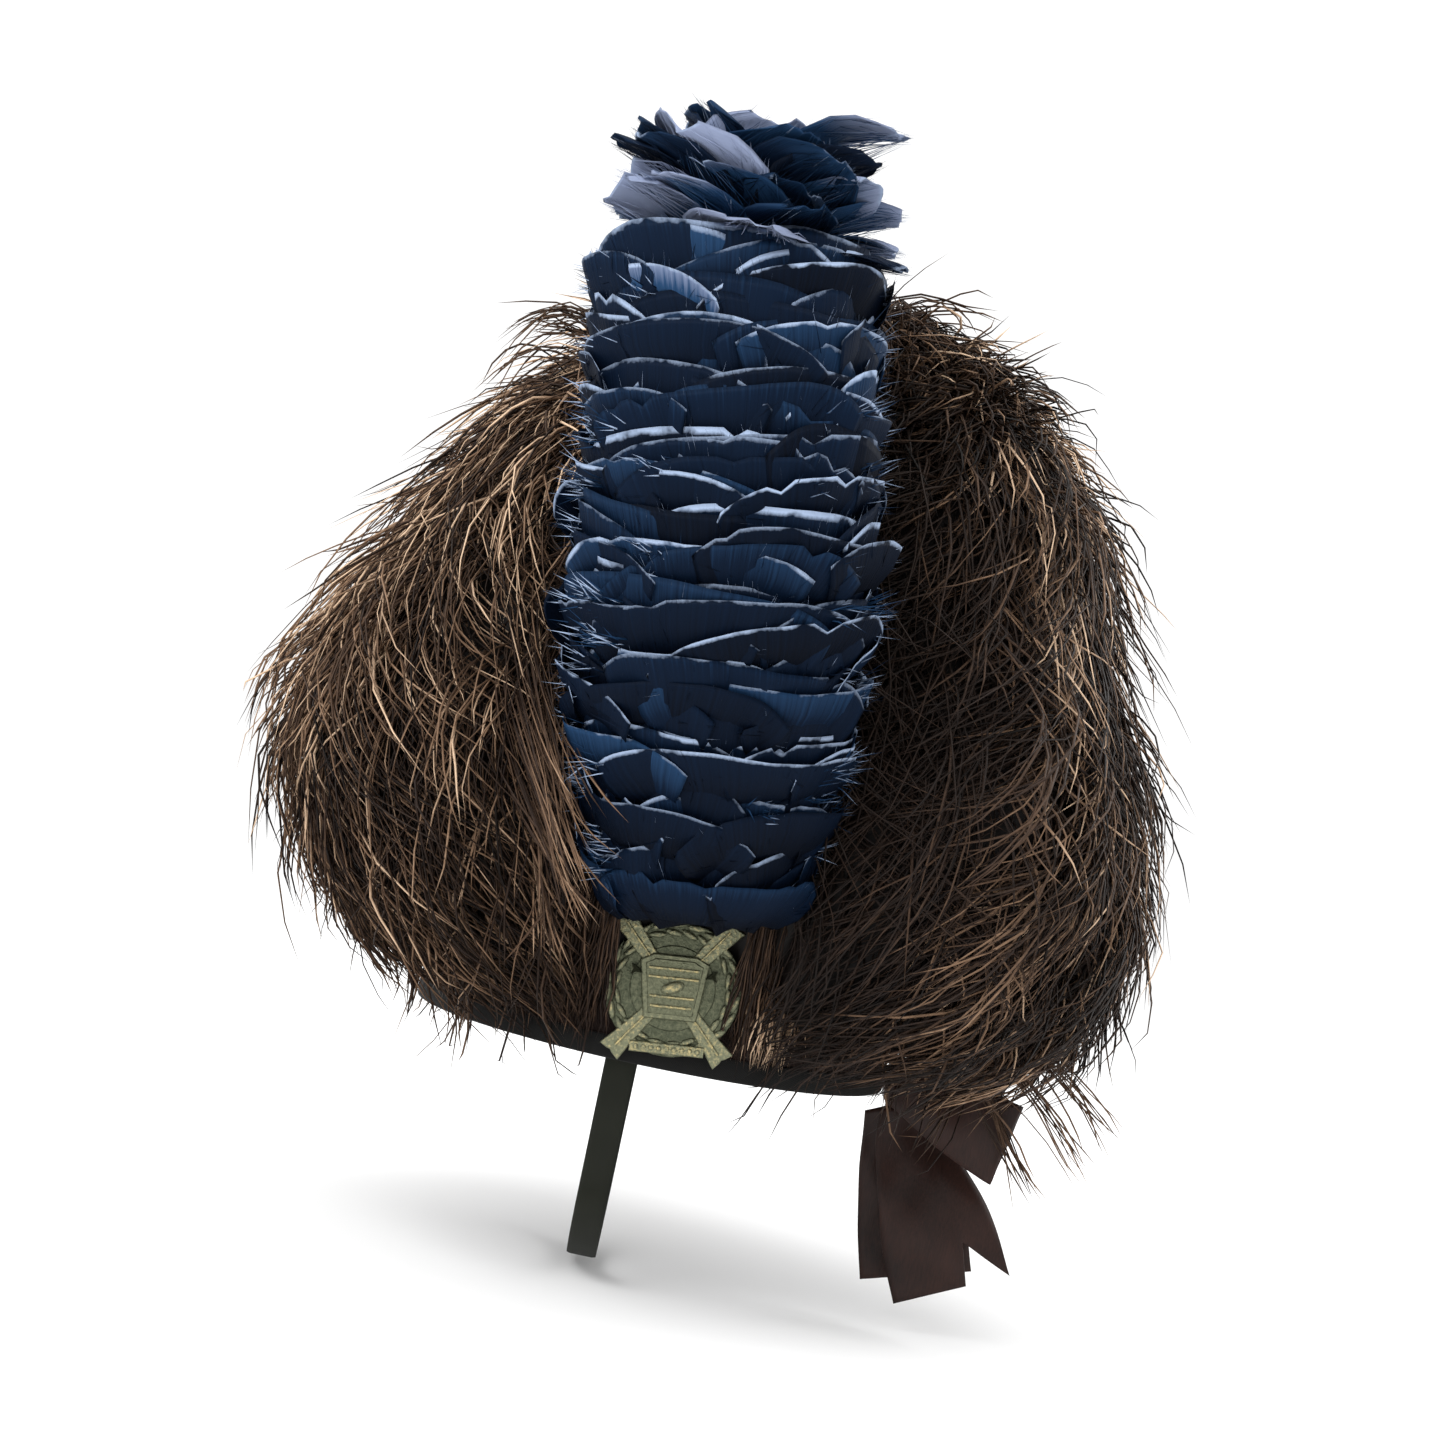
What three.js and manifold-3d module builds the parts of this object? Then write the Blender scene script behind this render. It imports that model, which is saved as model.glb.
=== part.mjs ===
// A feather bonnet: a tall stiffened cap covered with drooping ostrich plumes, with a hackle of broad
// feathers and a cast badge on the wearer's left, a chin strap, and a ribbon bow at the back.
// Millimetres, +Z up. The wearer faces -Y, and +X is the wearer's left. The origin is the middle of the
// head opening, level with the cap's lower edge.
import * as THREE from "three";
import { mergeVertices } from "three/addons/utils/BufferGeometryUtils.js";
import Module from "manifold-3d";

const wasm = await Module();
wasm.setup();

// Head opening and cap
const HEAD_LENGTH = 200;
const HEAD_WIDTH = 164;
const CAP_HEIGHT = 232;
const CAP_WALL = 2.5;
const SEWN_GAP = 0.4;
const ROUND_SEGMENTS = 28;

// Band round the cap, and the tape folded over its lower edge
const BAND_HEIGHT = 42;
const BAND_THICKNESS = 2;
const BINDING_HEIGHT = 8;
const BINDING_THICKNESS = 1.2;
const BINDING_DROP = 1.2;

// Ostrich plumes: how far the mass that they make together stands out from the head and the cap
const FUR_OVER_CAP = 108;
const FUR_IN_FRONT = 94;
const FUR_BEHIND = 106;
const FUR_BESIDE = 90;
const FUR_TOP_LEAN = 20;
const FUR_MIDDLE_SHARE = 0.36;
const PLUMES_ROUND = 8;
const PLUME_GAP = 0.6;
const PLUME_LOCKS = 3;
const BAY_LOCKS = 4;
const LOCK_TIERS = 6;
const LOCK_FIRST_ROOT = 0.05;
const LOCK_LAST_TIP = 1.06;
const LOCK_OVERLAP = 0.5;
const TUFT_RADIUS = 30;
const TUFT_LOCKS = 6;

// The bay on the wearer's left that the hackle stands in
const BAY_MIDDLE_DEGREES = 2;
const BAY_HALF_DEGREES = 25;
const BAY_FADE_DEGREES = 52;
const BAY_FUR = 26;

// Hackle
const HACKLE_LENGTH = 242;
const HACKLE_STAND_OFF = 31;
const HACKLE_HALF_WIDTH = 58;
const HACKLE_HALF_DEPTH = 40;
const HACKLE_TIERS = 11;
const HACKLE_PETALS = 5;
const PETAL_RISE = 35;
const SCALLOP_DEPTH = 7;
const HACKLE_TIER_TURN = 0.63; // radians from one tier to the next
const PETAL_ODD_REACH = 0.08;
const PETAL_NOTCH_REACH = 0.12;
const PETAL_ODD_RISE = 0.3;
const TUFT_PETALS = 7;
const TUFT_PETAL_LENGTH = 78;
const TUFT_PETAL_WIDTH = 56;
const TUFT_PETAL_THICKNESS = 3;
const HACKLE_WIRE = 3;
const HACKLE_CLEARANCE = 1.5;

// Badge
const BADGE_MIDDLE_Y = 5;
const BADGE_MIDDLE_Z = 33;
const BADGE_LEAN_DEGREES = 6;
const BADGE_RADIUS = 27;
const BADGE_PLATE = 1.6;
const BADGE_ARM_LENGTH = 37;
const BADGE_ARM_TIP = 10;
const BADGE_ARM_WAIST = 5;
const BADGE_ARM_RELIEF = 1.3;
const BADGE_BOSS_RELIEF = 2.2;
const BADGE_SLOT_RADIUS = 2.4;
const BADGE_STAND_OFF = 4;
const BADGE_LUG = 3;
const WREATH_LEAVES = 16;

// Chin strap
const STRAP_WIDTH = 13;
const STRAP_THICKNESS = 1.6;
const STRAP_SEWN_LENGTH = 12;
const STRAP_Y = -10;
const STRAP_DROP = 100;
const STRAP_HALF_SPREAD = 64;
const STRAP_STRAIGHT = 58;

// Ribbon bow at the back
const RIBBON_WIDTH = 50;
const RIBBON_THICKNESS = 1;
const KNOT_WIDTH = 26;
const KNOT_HEIGHT = 20;
const KNOT_DEPTH = 9;
const KNOT_MIDDLE_Z = 2;

const RADIANS = Math.PI / 180;
const TURN = 2 * Math.PI;

// The cap's section: each row's height is a share of CAP_HEIGHT, and its spread of the head opening.
const CAP_FORM = [
  { height: 0, spread: 1 },
  { height: 0.2, spread: 1 },
  { height: 0.45, spread: 1.03 },
  { height: 0.64, spread: 0.97 },
  { height: 0.8, spread: 0.82 },
  { height: 0.93, spread: 0.52 },
  { height: 0.985, spread: 0.25 },
];

// The plumes' outer form from the crown down to the lowest tips: each row's height is a share of
// FUR_HEIGHT, and the others are shares of FUR_FRONT, FUR_BACK and FUR_SIDE.
const FUR_FORM = [
  { height: 1, front: 0.02, back: 0.02, side: 0.02 },
  { height: 0.978, front: 0.3, back: 0.31, side: 0.31 },
  { height: 0.925, front: 0.46, back: 0.46, side: 0.47 },
  { height: 0.86, front: 0.58, back: 0.575, side: 0.59 },
  { height: 0.76, front: 0.73, back: 0.7, side: 0.74 },
  { height: 0.62, front: 0.87, back: 0.8, side: 0.87 },
  { height: 0.5, front: 0.95, back: 0.89, side: 0.95 },
  { height: 0.38, front: 1, back: 0.96, side: 1 },
  { height: 0.27, front: 0.98, back: 1, side: 0.99 },
  { height: 0.15, front: 0.89, back: 0.965, side: 0.91 },
  { height: 0.07, front: 0.76, back: 0.9, side: 0.77 },
  { height: 0.015, front: 0.58, back: 0.72, side: 0.64 },
];

// A tier of locks from its root to its rim, along the middles of the locks and along the hollows between
// them: along is a share of a lock's length, and out is a share of the outer form.
const LOCK_FORM = [
  { crestAlong: 0, crestOut: 0.915, hollowAlong: 0, hollowOut: 0.915 },
  { crestAlong: 0.5, crestOut: 0.985, hollowAlong: 0.3, hollowOut: 0.94 },
  { crestAlong: 1, crestOut: 1, hollowAlong: 0.56, hollowOut: 0.95 },
];

// The crown tuft from its foot up and over its curled locks: heights are shares of FUR_HEIGHT, and the
// others are shares of TUFT_RADIUS, at the middles of the locks and in the hollows between them.
const TUFT_FORM = [
  { height: 0.92, crest: 0.99, hollow: 0.99 },
  { height: 0.93, crest: 2, hollow: 0.99 },
  { height: 0.98, crest: 1.4, hollow: 0.85 },
  { height: 1, crest: 0.6, hollow: 0.45 },
];

// A tier of the hackle, from its root out to its rim: shares of the reach and of the rise.
const PETAL_FORM = [
  { out: 0.66, rise: 0 },
  { out: 0.92, rise: 0.42 },
  { out: 1, rise: 1 },
];

// A feather of the hackle's top tuft from its root to its tip: along and out are shares of its length,
// up the hackle and away from it, and width is a share of the full width.
const TUFT_PETAL_FORM = [
  { along: 0, out: 0.05, width: 0.3 },
  { along: 0.34, out: 0.36, width: 0.9 },
  { along: 0.7, out: 0.58, width: 1 },
  { along: 0.92, out: 0.78, width: 0.45 },
];

// The hackle's axis from its base to its top, in shares of HACKLE_LENGTH: up, away from the cap, and
// towards the front.
const HACKLE_AXIS = [
  { up: 0, away: 0, forward: 0 },
  { up: 0.54, away: 0.145, forward: 0.07 },
  { up: 1, away: 0.115, forward: 0.157 },
];

// The hackle's half width from its base to its top, as shares of HACKLE_HALF_WIDTH.
const HACKLE_FORM = [
  { along: 0, reach: 0.74 },
  { along: 0.2, reach: 0.92 },
  { along: 0.42, reach: 1.02 },
  { along: 0.75, reach: 1 },
  { along: 1, reach: 0.98 },
];

// The knot from one side to the other: the place is a share of its half width.
const KNOT_FORM = [
  { along: -1, size: 0.75 },
  { along: -0.4, size: 1 },
  { along: 0.4, size: 0.94 },
  { along: 1, size: 0.72 },
];

// The two tails, from under the knot down. A row places the tail's middle in ribbon widths to the
// wearer's left of the knot, behind it and above it. The turn of its width is in degrees from the
// wearer's left to the back, and width and fold are shares of the ribbon's width. A notch is given
// the same way.
const RIBBON_TAILS = {
  ribbon_tail_near: {
    rows: [
      { left: -0.07, back: 0, up: 0, turn: 78, width: 0.44, fold: 0.01 },
      { left: -0.02, back: 0.19, up: -0.4, turn: 80, width: 0.74, fold: 0.015 },
      { left: 0.05, back: 0.4, up: -0.95, turn: 82, width: 0.96, fold: 0.01 },
      { left: 0.11, back: 0.54, up: -1.42, turn: 84, width: 1, fold: 0.005 },
    ],
  },
  ribbon_tail_far: {
    rows: [
      { left: 0.09, back: 0.18, up: 0.045, turn: 88, width: 0.5, fold: 0 },
      { left: 0.14, back: 0.26, up: -0.28, turn: 90, width: 0.66, fold: -0.03 },
      { left: 0.3, back: 0.6, up: -0.92, turn: 88, width: 1, fold: 0.06 },
      { left: 0.42, back: 0.84, up: -1.42, turn: 80, width: 1.06, fold: -0.04 },
    ],
    notch: { apex: 0.16, depth: 0.4, from: 0.22, to: 0.52 },
  },
};

// A loop of the bow from beside the knot out to its fold, on the wearer's left. The open column is half
// of the space between its two layers, in ribbon widths.
const RIBBON_LOOP = [
  { left: 0.04, back: 0, up: 0.02, turn: 90, tilt: 6, width: 0.34, fold: 0, open: 0.03 },
  { left: 0.24, back: 0.5, up: -0.1, turn: 90, tilt: 6, width: 0.62, fold: 0.03, open: 0.05 },
  { left: 0.34, back: 0.92, up: -0.22, turn: 90, tilt: 6, width: 0.72, fold: 0.02, open: 0.04 },
  { left: 0.36, back: 1.03, up: -0.25, turn: 90, tilt: 6, width: 0.74, fold: 0, open: 0 },
];

// Values worked out from the sizes above
const FUR_HEIGHT = CAP_HEIGHT + FUR_OVER_CAP;
const FUR_FRONT = HEAD_LENGTH / 2 + FUR_IN_FRONT;
const FUR_BACK = HEAD_LENGTH / 2 + FUR_BEHIND;
const FUR_SIDE = HEAD_WIDTH / 2 + FUR_BESIDE;
const BAY_DEPTH_SHARE = 1 - (HEAD_WIDTH / 2 + BAY_FUR) / FUR_SIDE;
const BAND_INSIDE = CAP_WALL + SEWN_GAP;
const BAND_OUTSIDE = BAND_INSIDE + BAND_THICKNESS;
const BINDING_INSIDE = BAND_OUTSIDE + SEWN_GAP;
const BINDING_OUTSIDE = BINDING_INSIDE + BINDING_THICKNESS;
const BAND_BACK_Y = HEAD_LENGTH / 2 + BINDING_OUTSIDE;

// The plumes: one fills the bay, and the others share the rest of the way round.
const BAY_FROM = (BAY_MIDDLE_DEGREES - BAY_HALF_DEGREES) * RADIANS;
const BAY_TO = (BAY_MIDDLE_DEGREES + BAY_HALF_DEGREES) * RADIANS;
const PLUME_TURN = (TURN - (BAY_TO - BAY_FROM)) / PLUMES_ROUND;
const PLUME_SECTORS = [
  { name: "plume_bay", from: BAY_FROM, to: BAY_TO, locks: BAY_LOCKS },
  ...Array.from({ length: PLUMES_ROUND }, (_, i) => ({
    name: `plume_${i + 1}`,
    from: BAY_TO + PLUME_TURN * i,
    to: BAY_TO + PLUME_TURN * (i + 1),
    locks: PLUME_LOCKS,
  })),
];

// Shapes

// A number from -0.5 to 0.5 that depends only on its arguments.
function scatter(...seeds) {
  const mixed = seeds.reduce((sum, seed, i) => sum + (seed + 1) * (12.9898 + 65.233 * i), 0);
  const wave = Math.sin(mixed) * 43758.5453;
  return wave - Math.floor(wave) - 0.5;
}

// The row of a table at a place between its rows, with every column worked out.
function rowAt(table, key, value) {
  const rising = table[table.length - 1][key] > table[0][key];
  const inside = (a, b) => (rising ? value <= b[key] : value >= b[key]) || b === table[table.length - 1];
  const i = Math.max(1, table.findIndex((row, n) => n > 0 && inside(table[n - 1], row)));
  const [a, b] = [table[i - 1], table[i]];
  const share = (value - a[key]) / (b[key] - a[key]);
  return Object.fromEntries(Object.keys(a).map((k) => [k, a[k] + share * (b[k] - a[k])]));
}

// A geometry from points and triangles, turned so that its faces point out.
function closedGeometry(points, triangles) {
  const volume = triangles.reduce(
    (sum, [a, b, c]) => sum + points[a].dot(points[b].clone().cross(points[c])),
    0,
  );
  const faces = volume < 0 ? triangles.map(([a, b, c]) => [a, c, b]) : triangles;
  const geometry = new THREE.BufferGeometry().setFromPoints(points);
  geometry.setIndex(faces.flat());
  return geometry;
}

// Skins a row of sections. A section is a ring of points, or a single point where the shape closes.
// A looped skin joins its last section to its first, and other ends are capped from their middle.
function skin(sections, looped = false) {
  const points = [];
  const triangles = [];
  const rings = sections.map((section) => section.map((p) => points.push(p) - 1));
  const join = (a, b) => {
    const count = Math.max(a.length, b.length);
    for (let i = 0; i < count; i++) {
      const j = (i + 1) % count;
      if (a.length > 1) triangles.push([a[i], a[j], b[b.length > 1 ? j : 0]]);
      if (b.length > 1) triangles.push([a[a.length > 1 ? i : 0], b[j], b[i]]);
    }
  };
  rings.slice(1).forEach((ring, i) => join(rings[i], ring));
  if (looped) {
    join(rings[rings.length - 1], rings[0]);
    return closedGeometry(points, triangles);
  }
  const cap = (ring, section, forwards) => {
    if (ring.length < 2) return;
    const middle = section.reduce((sum, p) => sum.add(p), new THREE.Vector3()).divideScalar(section.length);
    const hub = points.push(middle) - 1;
    ring.forEach((a, i) => {
      const b = ring[(i + 1) % ring.length];
      triangles.push(forwards ? [hub, a, b] : [hub, b, a]);
    });
  };
  cap(rings[0], sections[0], false);
  cap(rings[rings.length - 1], sections[sections.length - 1], true);
  return closedGeometry(points, triangles);
}

function solidFrom(geometry) {
  const bare = new THREE.BufferGeometry().setAttribute("position", geometry.getAttribute("position"));
  bare.setIndex(geometry.index);
  const merged = mergeVertices(bare, 1e-4);
  return new wasm.Manifold(
    new wasm.Mesh({
      numProp: 3,
      vertProperties: merged.getAttribute("position").array,
      triVerts: new Uint32Array(merged.index.array),
    }),
  );
}

function geometryFrom(solid) {
  const mesh = solid.getMesh();
  const positions = new Float32Array(mesh.numVert * 3);
  for (let i = 0; i < mesh.numVert; i++) {
    positions.set(mesh.vertProperties.subarray(i * mesh.numProp, i * mesh.numProp + 3), i * 3);
  }
  const geometry = new THREE.BufferGeometry();
  geometry.setAttribute("position", new THREE.BufferAttribute(positions, 3));
  geometry.setIndex(new THREE.BufferAttribute(mesh.triVerts, 1));
  return geometry;
}

function fuse(geometries) {
  return geometries.map(solidFrom).reduce((all, one) => all.add(one));
}

// The largest body of a solid: pieces cut off beside a neighbour fall away, and closed hollows fill.
function largestBody(solid) {
  return solid.decompose().reduce((a, b) => (b.volume() > a.volume() ? b : a));
}

// A ring on the head's oval, some distance outside it.
function ovalRing(out, z, spread = 1) {
  return Array.from({ length: ROUND_SEGMENTS }, (_, i) => {
    const angle = (TURN * i) / ROUND_SEGMENTS;
    return new THREE.Vector3(
      ((HEAD_WIDTH / 2) * spread + out) * Math.cos(angle),
      ((HEAD_LENGTH / 2) * spread + out) * Math.sin(angle),
      z,
    );
  });
}

function boxGeometry(low, high) {
  const size = high.clone().sub(low);
  const middle = high.clone().add(low).multiplyScalar(0.5);
  return new THREE.BoxGeometry(size.x, size.y, size.z).translate(middle.x, middle.y, middle.z);
}

// Materials

const FINISHES = {
  cap: { color: 0x14110f, roughness: 0.95, metalness: 0 },
  band: { color: 0x1d1513, roughness: 0.9, metalness: 0 },
  binding: { color: 0x0c0d0c, roughness: 0.7, metalness: 0 },
  ostrich: { color: 0x35241a, roughness: 0.8, metalness: 0 },
  hackle: { color: 0x1d3355, roughness: 0.7, metalness: 0 },
  badge: { color: 0x8d8c66, roughness: 0.4, metalness: 1 },
  strap: { color: 0x23251f, roughness: 0.85, metalness: 0 },
  ribbon: { color: 0x2a1a17, roughness: 0.55, metalness: 0 },
};

const bonnet = new THREE.Group();

function addPiece(name, geometry, finish, parent = bonnet) {
  const mesh = new THREE.Mesh(geometry, new THREE.MeshStandardMaterial(FINISHES[finish]));
  mesh.name = name;
  parent.add(mesh);
  return mesh;
}

// Cap

// Rings of the cap's surface from the rim up, closed by a point at the crown.
function capSurface(out, crownLift) {
  const rings = CAP_FORM.map((row) =>
    ovalRing(out, row.height * (CAP_HEIGHT - CAP_WALL + crownLift), row.spread),
  );
  rings.push([new THREE.Vector3(0, 0, CAP_HEIGHT - CAP_WALL + crownLift)]);
  return rings;
}

function capShell() {
  const inside = capSurface(0, 0).reverse();
  const outside = capSurface(CAP_WALL, CAP_WALL);
  return skin([...inside, ...outside]);
}

// All the room that the cap and its band take, for cutting the plumes that are sewn round them.
function capRoom() {
  const low = -FUR_HEIGHT;
  const cap = capSurface(CAP_WALL + SEWN_GAP, CAP_WALL + SEWN_GAP);
  const band = [low, BAND_HEIGHT + SEWN_GAP].map((z) => ovalRing(BINDING_OUTSIDE + SEWN_GAP, z));
  return fuse([skin(cap), skin(band)]);
}

function headBand() {
  return skin(
    [
      ovalRing(BAND_INSIDE, 0),
      ovalRing(BAND_OUTSIDE, 0),
      ovalRing(BAND_OUTSIDE, BAND_HEIGHT),
      ovalRing(BAND_INSIDE, BAND_HEIGHT),
    ],
    true,
  );
}

// Tape folded under the edge: an upright outside, and a foot under the band and the cap's wall.
function rimBinding() {
  const top = BINDING_HEIGHT;
  const foot = -SEWN_GAP;
  const bottom = foot - BINDING_DROP;
  return skin(
    [
      ovalRing(0, foot),
      ovalRing(0, bottom),
      ovalRing(BINDING_OUTSIDE, bottom),
      ovalRing(BINDING_OUTSIDE, top),
      ovalRing(BINDING_INSIDE, top),
      ovalRing(BINDING_INSIDE, foot),
    ],
    true,
  );
}

// Plumes

// How much the plumes draw in towards the bay at an angle, from 0 to 1.
function bayShare(angle) {
  const turned = angle - BAY_MIDDLE_DEGREES * RADIANS;
  const apart = Math.abs(turned - TURN * Math.round(turned / TURN));
  const fade = BAY_FADE_DEGREES * RADIANS;
  return apart < fade ? Math.cos((apart / fade) * (Math.PI / 2)) ** 2 : 0;
}

// A point on the outer form: an angle round the bonnet, a share of the way from the crown to the lowest
// tips, and a share of the distance out from the middle, at FUR_MIDDLE_SHARE of the height.
function furPoint(angle, way, share) {
  const place = Math.min(Math.max(way, 0), 1) * (FUR_FORM.length - 1);
  const row = Math.min(Math.floor(place), FUR_FORM.length - 2);
  const part = place - row;
  const at = (column) => FUR_FORM[row][column] * (1 - part) + FUR_FORM[row + 1][column] * part;
  const height = at("height");
  const lengthwise = Math.sin(angle) > 0 ? FUR_BACK * at("back") : FUR_FRONT * at("front");
  const sideways = FUR_SIDE * at("side");
  const oval = 1 / Math.hypot(Math.cos(angle) / sideways, Math.sin(angle) / lengthwise);
  const reach = oval * share * (1 - BAY_DEPTH_SHARE * bayShare(angle));
  const overhang = Math.max(way - 1, 0);
  return new THREE.Vector3(
    reach * Math.cos(angle),
    reach * Math.sin(angle) + FUR_TOP_LEAN * height ** 2,
    FUR_HEIGHT * (FUR_MIDDLE_SHARE + (height - FUR_MIDDLE_SHARE) * share - overhang),
  );
}

// Angles round the bonnet where the locks have their middles and the hollows between them: first those
// of the bay, and then those of each plume after it.
function lockAngles() {
  const spread = (from, to, steps) =>
    Array.from({ length: steps }, (_, i) => from + ((to - from) * i) / steps);
  return PLUME_SECTORS.flatMap(({ from, to, locks }) => spread(from, to, locks * 2));
}

// The outer form of all the plumes together: tiers of pointed locks, each tier starting under the last.
function furForm() {
  const angles = lockAngles();
  const advance = (LOCK_LAST_TIP - LOCK_FIRST_ROOT) / (LOCK_TIERS - 1 + 1 / (1 - LOCK_OVERLAP));
  const length = advance / (1 - LOCK_OVERLAP);
  const sections = [[furPoint(0, 0, 1)]];
  for (let tier = 0; tier < LOCK_TIERS; tier++) {
    const root = LOCK_FIRST_ROOT + advance * tier;
    for (const row of LOCK_FORM) {
      sections.push(
        angles.map((angle, i) => {
          const crest = (i + tier) % 2 === 0;
          const uneven = row.crestAlong * scatter(i, tier);
          const along = (crest ? row.crestAlong : row.hollowAlong) + 0.2 * uneven;
          const out = (crest ? row.crestOut : row.hollowOut) + 0.04 * uneven;
          return furPoint(angle, root + length * along, out);
        }),
      );
    }
  }
  const last = LOCK_FIRST_ROOT + advance * LOCK_TIERS;
  sections.push(angles.map((angle) => furPoint(angle, last, LOCK_FORM[0].crestOut)));
  return solidFrom(skin(sections));
}

// The room between two upright planes, half a gap away from the middle of the cap.
function plumeRoom({ from, to }) {
  const far = 3 * FUR_HEIGHT;
  const halfway = (from + to) / 2;
  const apex = PLUME_GAP / 2 / Math.sin((to - from) / 2);
  const section = (z) => {
    const point = (angle, out) =>
      new THREE.Vector3(
        apex * Math.cos(halfway) + out * Math.cos(angle),
        apex * Math.sin(halfway) + out * Math.sin(angle),
        z,
      );
    return [point(halfway, 0), point(from, far), point(halfway, far), point(to, far)];
  };
  return solidFrom(skin([section(-FUR_HEIGHT), section(2 * FUR_HEIGHT)]));
}

// The tuft at the crown stands on the cap and closes the middle, where the plumes meet.
function crownTuft(clearance = 0) {
  const middle = furPoint(0, 0, 0).y;
  const ring = (z, crest, hollow) =>
    Array.from({ length: TUFT_LOCKS * 2 }, (_, i) => {
      const angle = (Math.PI * i) / TUFT_LOCKS;
      const curl = crest > hollow && i % 2 === 0 ? crest * (1 + 0.3 * scatter(i)) : hollow;
      const out = TUFT_RADIUS * curl + clearance;
      return new THREE.Vector3(out * Math.cos(angle), middle + out * Math.sin(angle), z);
    });
  const foot = CAP_HEIGHT + SEWN_GAP - clearance;
  return skin([
    ring(foot, 1, 1),
    ...TUFT_FORM.map((row) => ring(FUR_HEIGHT * row.height - clearance, row.crest, row.hollow)),
  ]);
}

// Hackle

const HACKLE_BASE = new THREE.Vector3(
  HEAD_WIDTH / 2 + HACKLE_STAND_OFF,
  BADGE_MIDDLE_Y,
  BADGE_MIDDLE_Z + BADGE_ARM_LENGTH,
);
const hackleAxis = new THREE.CatmullRomCurve3(
  HACKLE_AXIS.map(({ up, away, forward }) =>
    new THREE.Vector3(away, -forward, up).multiplyScalar(HACKLE_LENGTH).add(HACKLE_BASE),
  ),
);

// The hackle's own directions at a share of its length: along it, across it, and away from the cap.
function hackleFrame(along) {
  const up = hackleAxis.getTangentAt(along);
  const away = new THREE.Vector3(1, 0, 0).addScaledVector(up, -up.x).normalize();
  const across = new THREE.Vector3().crossVectors(up, away);
  return { middle: hackleAxis.getPointAt(along), up, away, across };
}

function hackleRing(along, sides, shape) {
  const { middle, up, away, across } = hackleFrame(along);
  return Array.from({ length: sides }, (_, i) => {
    const angle = (TURN * i) / sides;
    const { reach, rise } = shape(angle);
    return middle
      .clone()
      .addScaledVector(across, reach * HACKLE_HALF_WIDTH * Math.cos(angle))
      .addScaledVector(away, reach * HACKLE_HALF_DEPTH * Math.sin(angle))
      .addScaledVector(up, rise);
  });
}

// The hackle's body: every tier is a cup that flares up to a rim scalloped into broad petals, and the
// next tier stands inside it.
function hackleBody() {
  const sections = [];
  for (let tier = 0; tier < HACKLE_TIERS; tier++) {
    const along = tier / (HACKLE_TIERS - 1);
    const turn = tier * HACKLE_TIER_TURN;
    const tierReach = rowAt(HACKLE_FORM, "along", along).reach;
    const petalAt = (angle) => (HACKLE_PETALS * (angle - turn)) / TURN + 3 * HACKLE_PETALS;
    for (const row of PETAL_FORM) {
      const ring = hackleRing(along, HACKLE_PETALS * 3, (angle) => {
        const petal = petalAt(angle);
        const edge = 1 - Math.abs(Math.cos(petal * Math.PI));
        const odd = scatter(tier, Math.round(petal) % HACKLE_PETALS);
        return {
          reach: tierReach * row.out * (1 + row.rise * (PETAL_ODD_REACH * odd - PETAL_NOTCH_REACH * edge)),
          rise: PETAL_RISE * row.rise * (1 + PETAL_ODD_RISE * odd) - SCALLOP_DEPTH * row.rise * edge,
        };
      });
      sections.push(ring);
    }
  }
  return skin(sections);
}

// A broad feather of the top tuft, four-cornered in section.
function tuftPetal(turn, size) {
  const { middle, up, away, across } = hackleFrame(1);
  const outward = across.clone().multiplyScalar(Math.cos(turn)).addScaledVector(away, Math.sin(turn));
  const aside = new THREE.Vector3().crossVectors(up, outward);
  const rows = TUFT_PETAL_FORM.map((row) => {
    const at = middle
      .clone()
      .addScaledVector(up, TUFT_PETAL_LENGTH * size * row.along)
      .addScaledVector(outward, TUFT_PETAL_LENGTH * size * row.out);
    const half = (TUFT_PETAL_WIDTH * size * row.width) / 2;
    const cupped = half * 0.3;
    const edge = (side) => at.clone().addScaledVector(aside, side * half).addScaledVector(outward, -cupped);
    const face = (side) => at.clone().addScaledVector(outward, side * TUFT_PETAL_THICKNESS);
    return [edge(-1), face(1), edge(1), face(-1)];
  });
  return skin(rows);
}

// The wire that the hackle is bound on, down behind the badge.
function hackleWire() {
  const x = HEAD_WIDTH / 2 + BAND_OUTSIDE + SEWN_GAP + HACKLE_WIRE / 2;
  const end = hackleAxis.getPointAt(0.12);
  const points = [
    new THREE.Vector3(x, BADGE_MIDDLE_Y, BADGE_MIDDLE_Z),
    new THREE.Vector3(x, BADGE_MIDDLE_Y, BADGE_MIDDLE_Z + BADGE_RADIUS),
    new THREE.Vector3(x + HACKLE_WIRE, BADGE_MIDDLE_Y, BADGE_MIDDLE_Z + BADGE_RADIUS * 1.3),
    end,
  ];
  const sides = 6;
  const ring = (middle) =>
    Array.from({ length: sides }, (_, i) => {
      const angle = (TURN * i) / sides;
      const aside = new THREE.Vector3(Math.cos(angle), Math.sin(angle), 0).multiplyScalar(HACKLE_WIRE / 2);
      return middle.clone().add(aside);
    });
  return skin(points.map(ring));
}

function hackle() {
  const petals = Array.from({ length: TUFT_PETALS }, (_, i) => {
    const turn = (TURN * (i + 0.5 * scatter(i, 5))) / TUFT_PETALS;
    return tuftPetal(turn, 1 + 0.3 * scatter(i, 6));
  });
  return largestBody(fuse([hackleBody(), ...petals, hackleWire()]));
}

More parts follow.
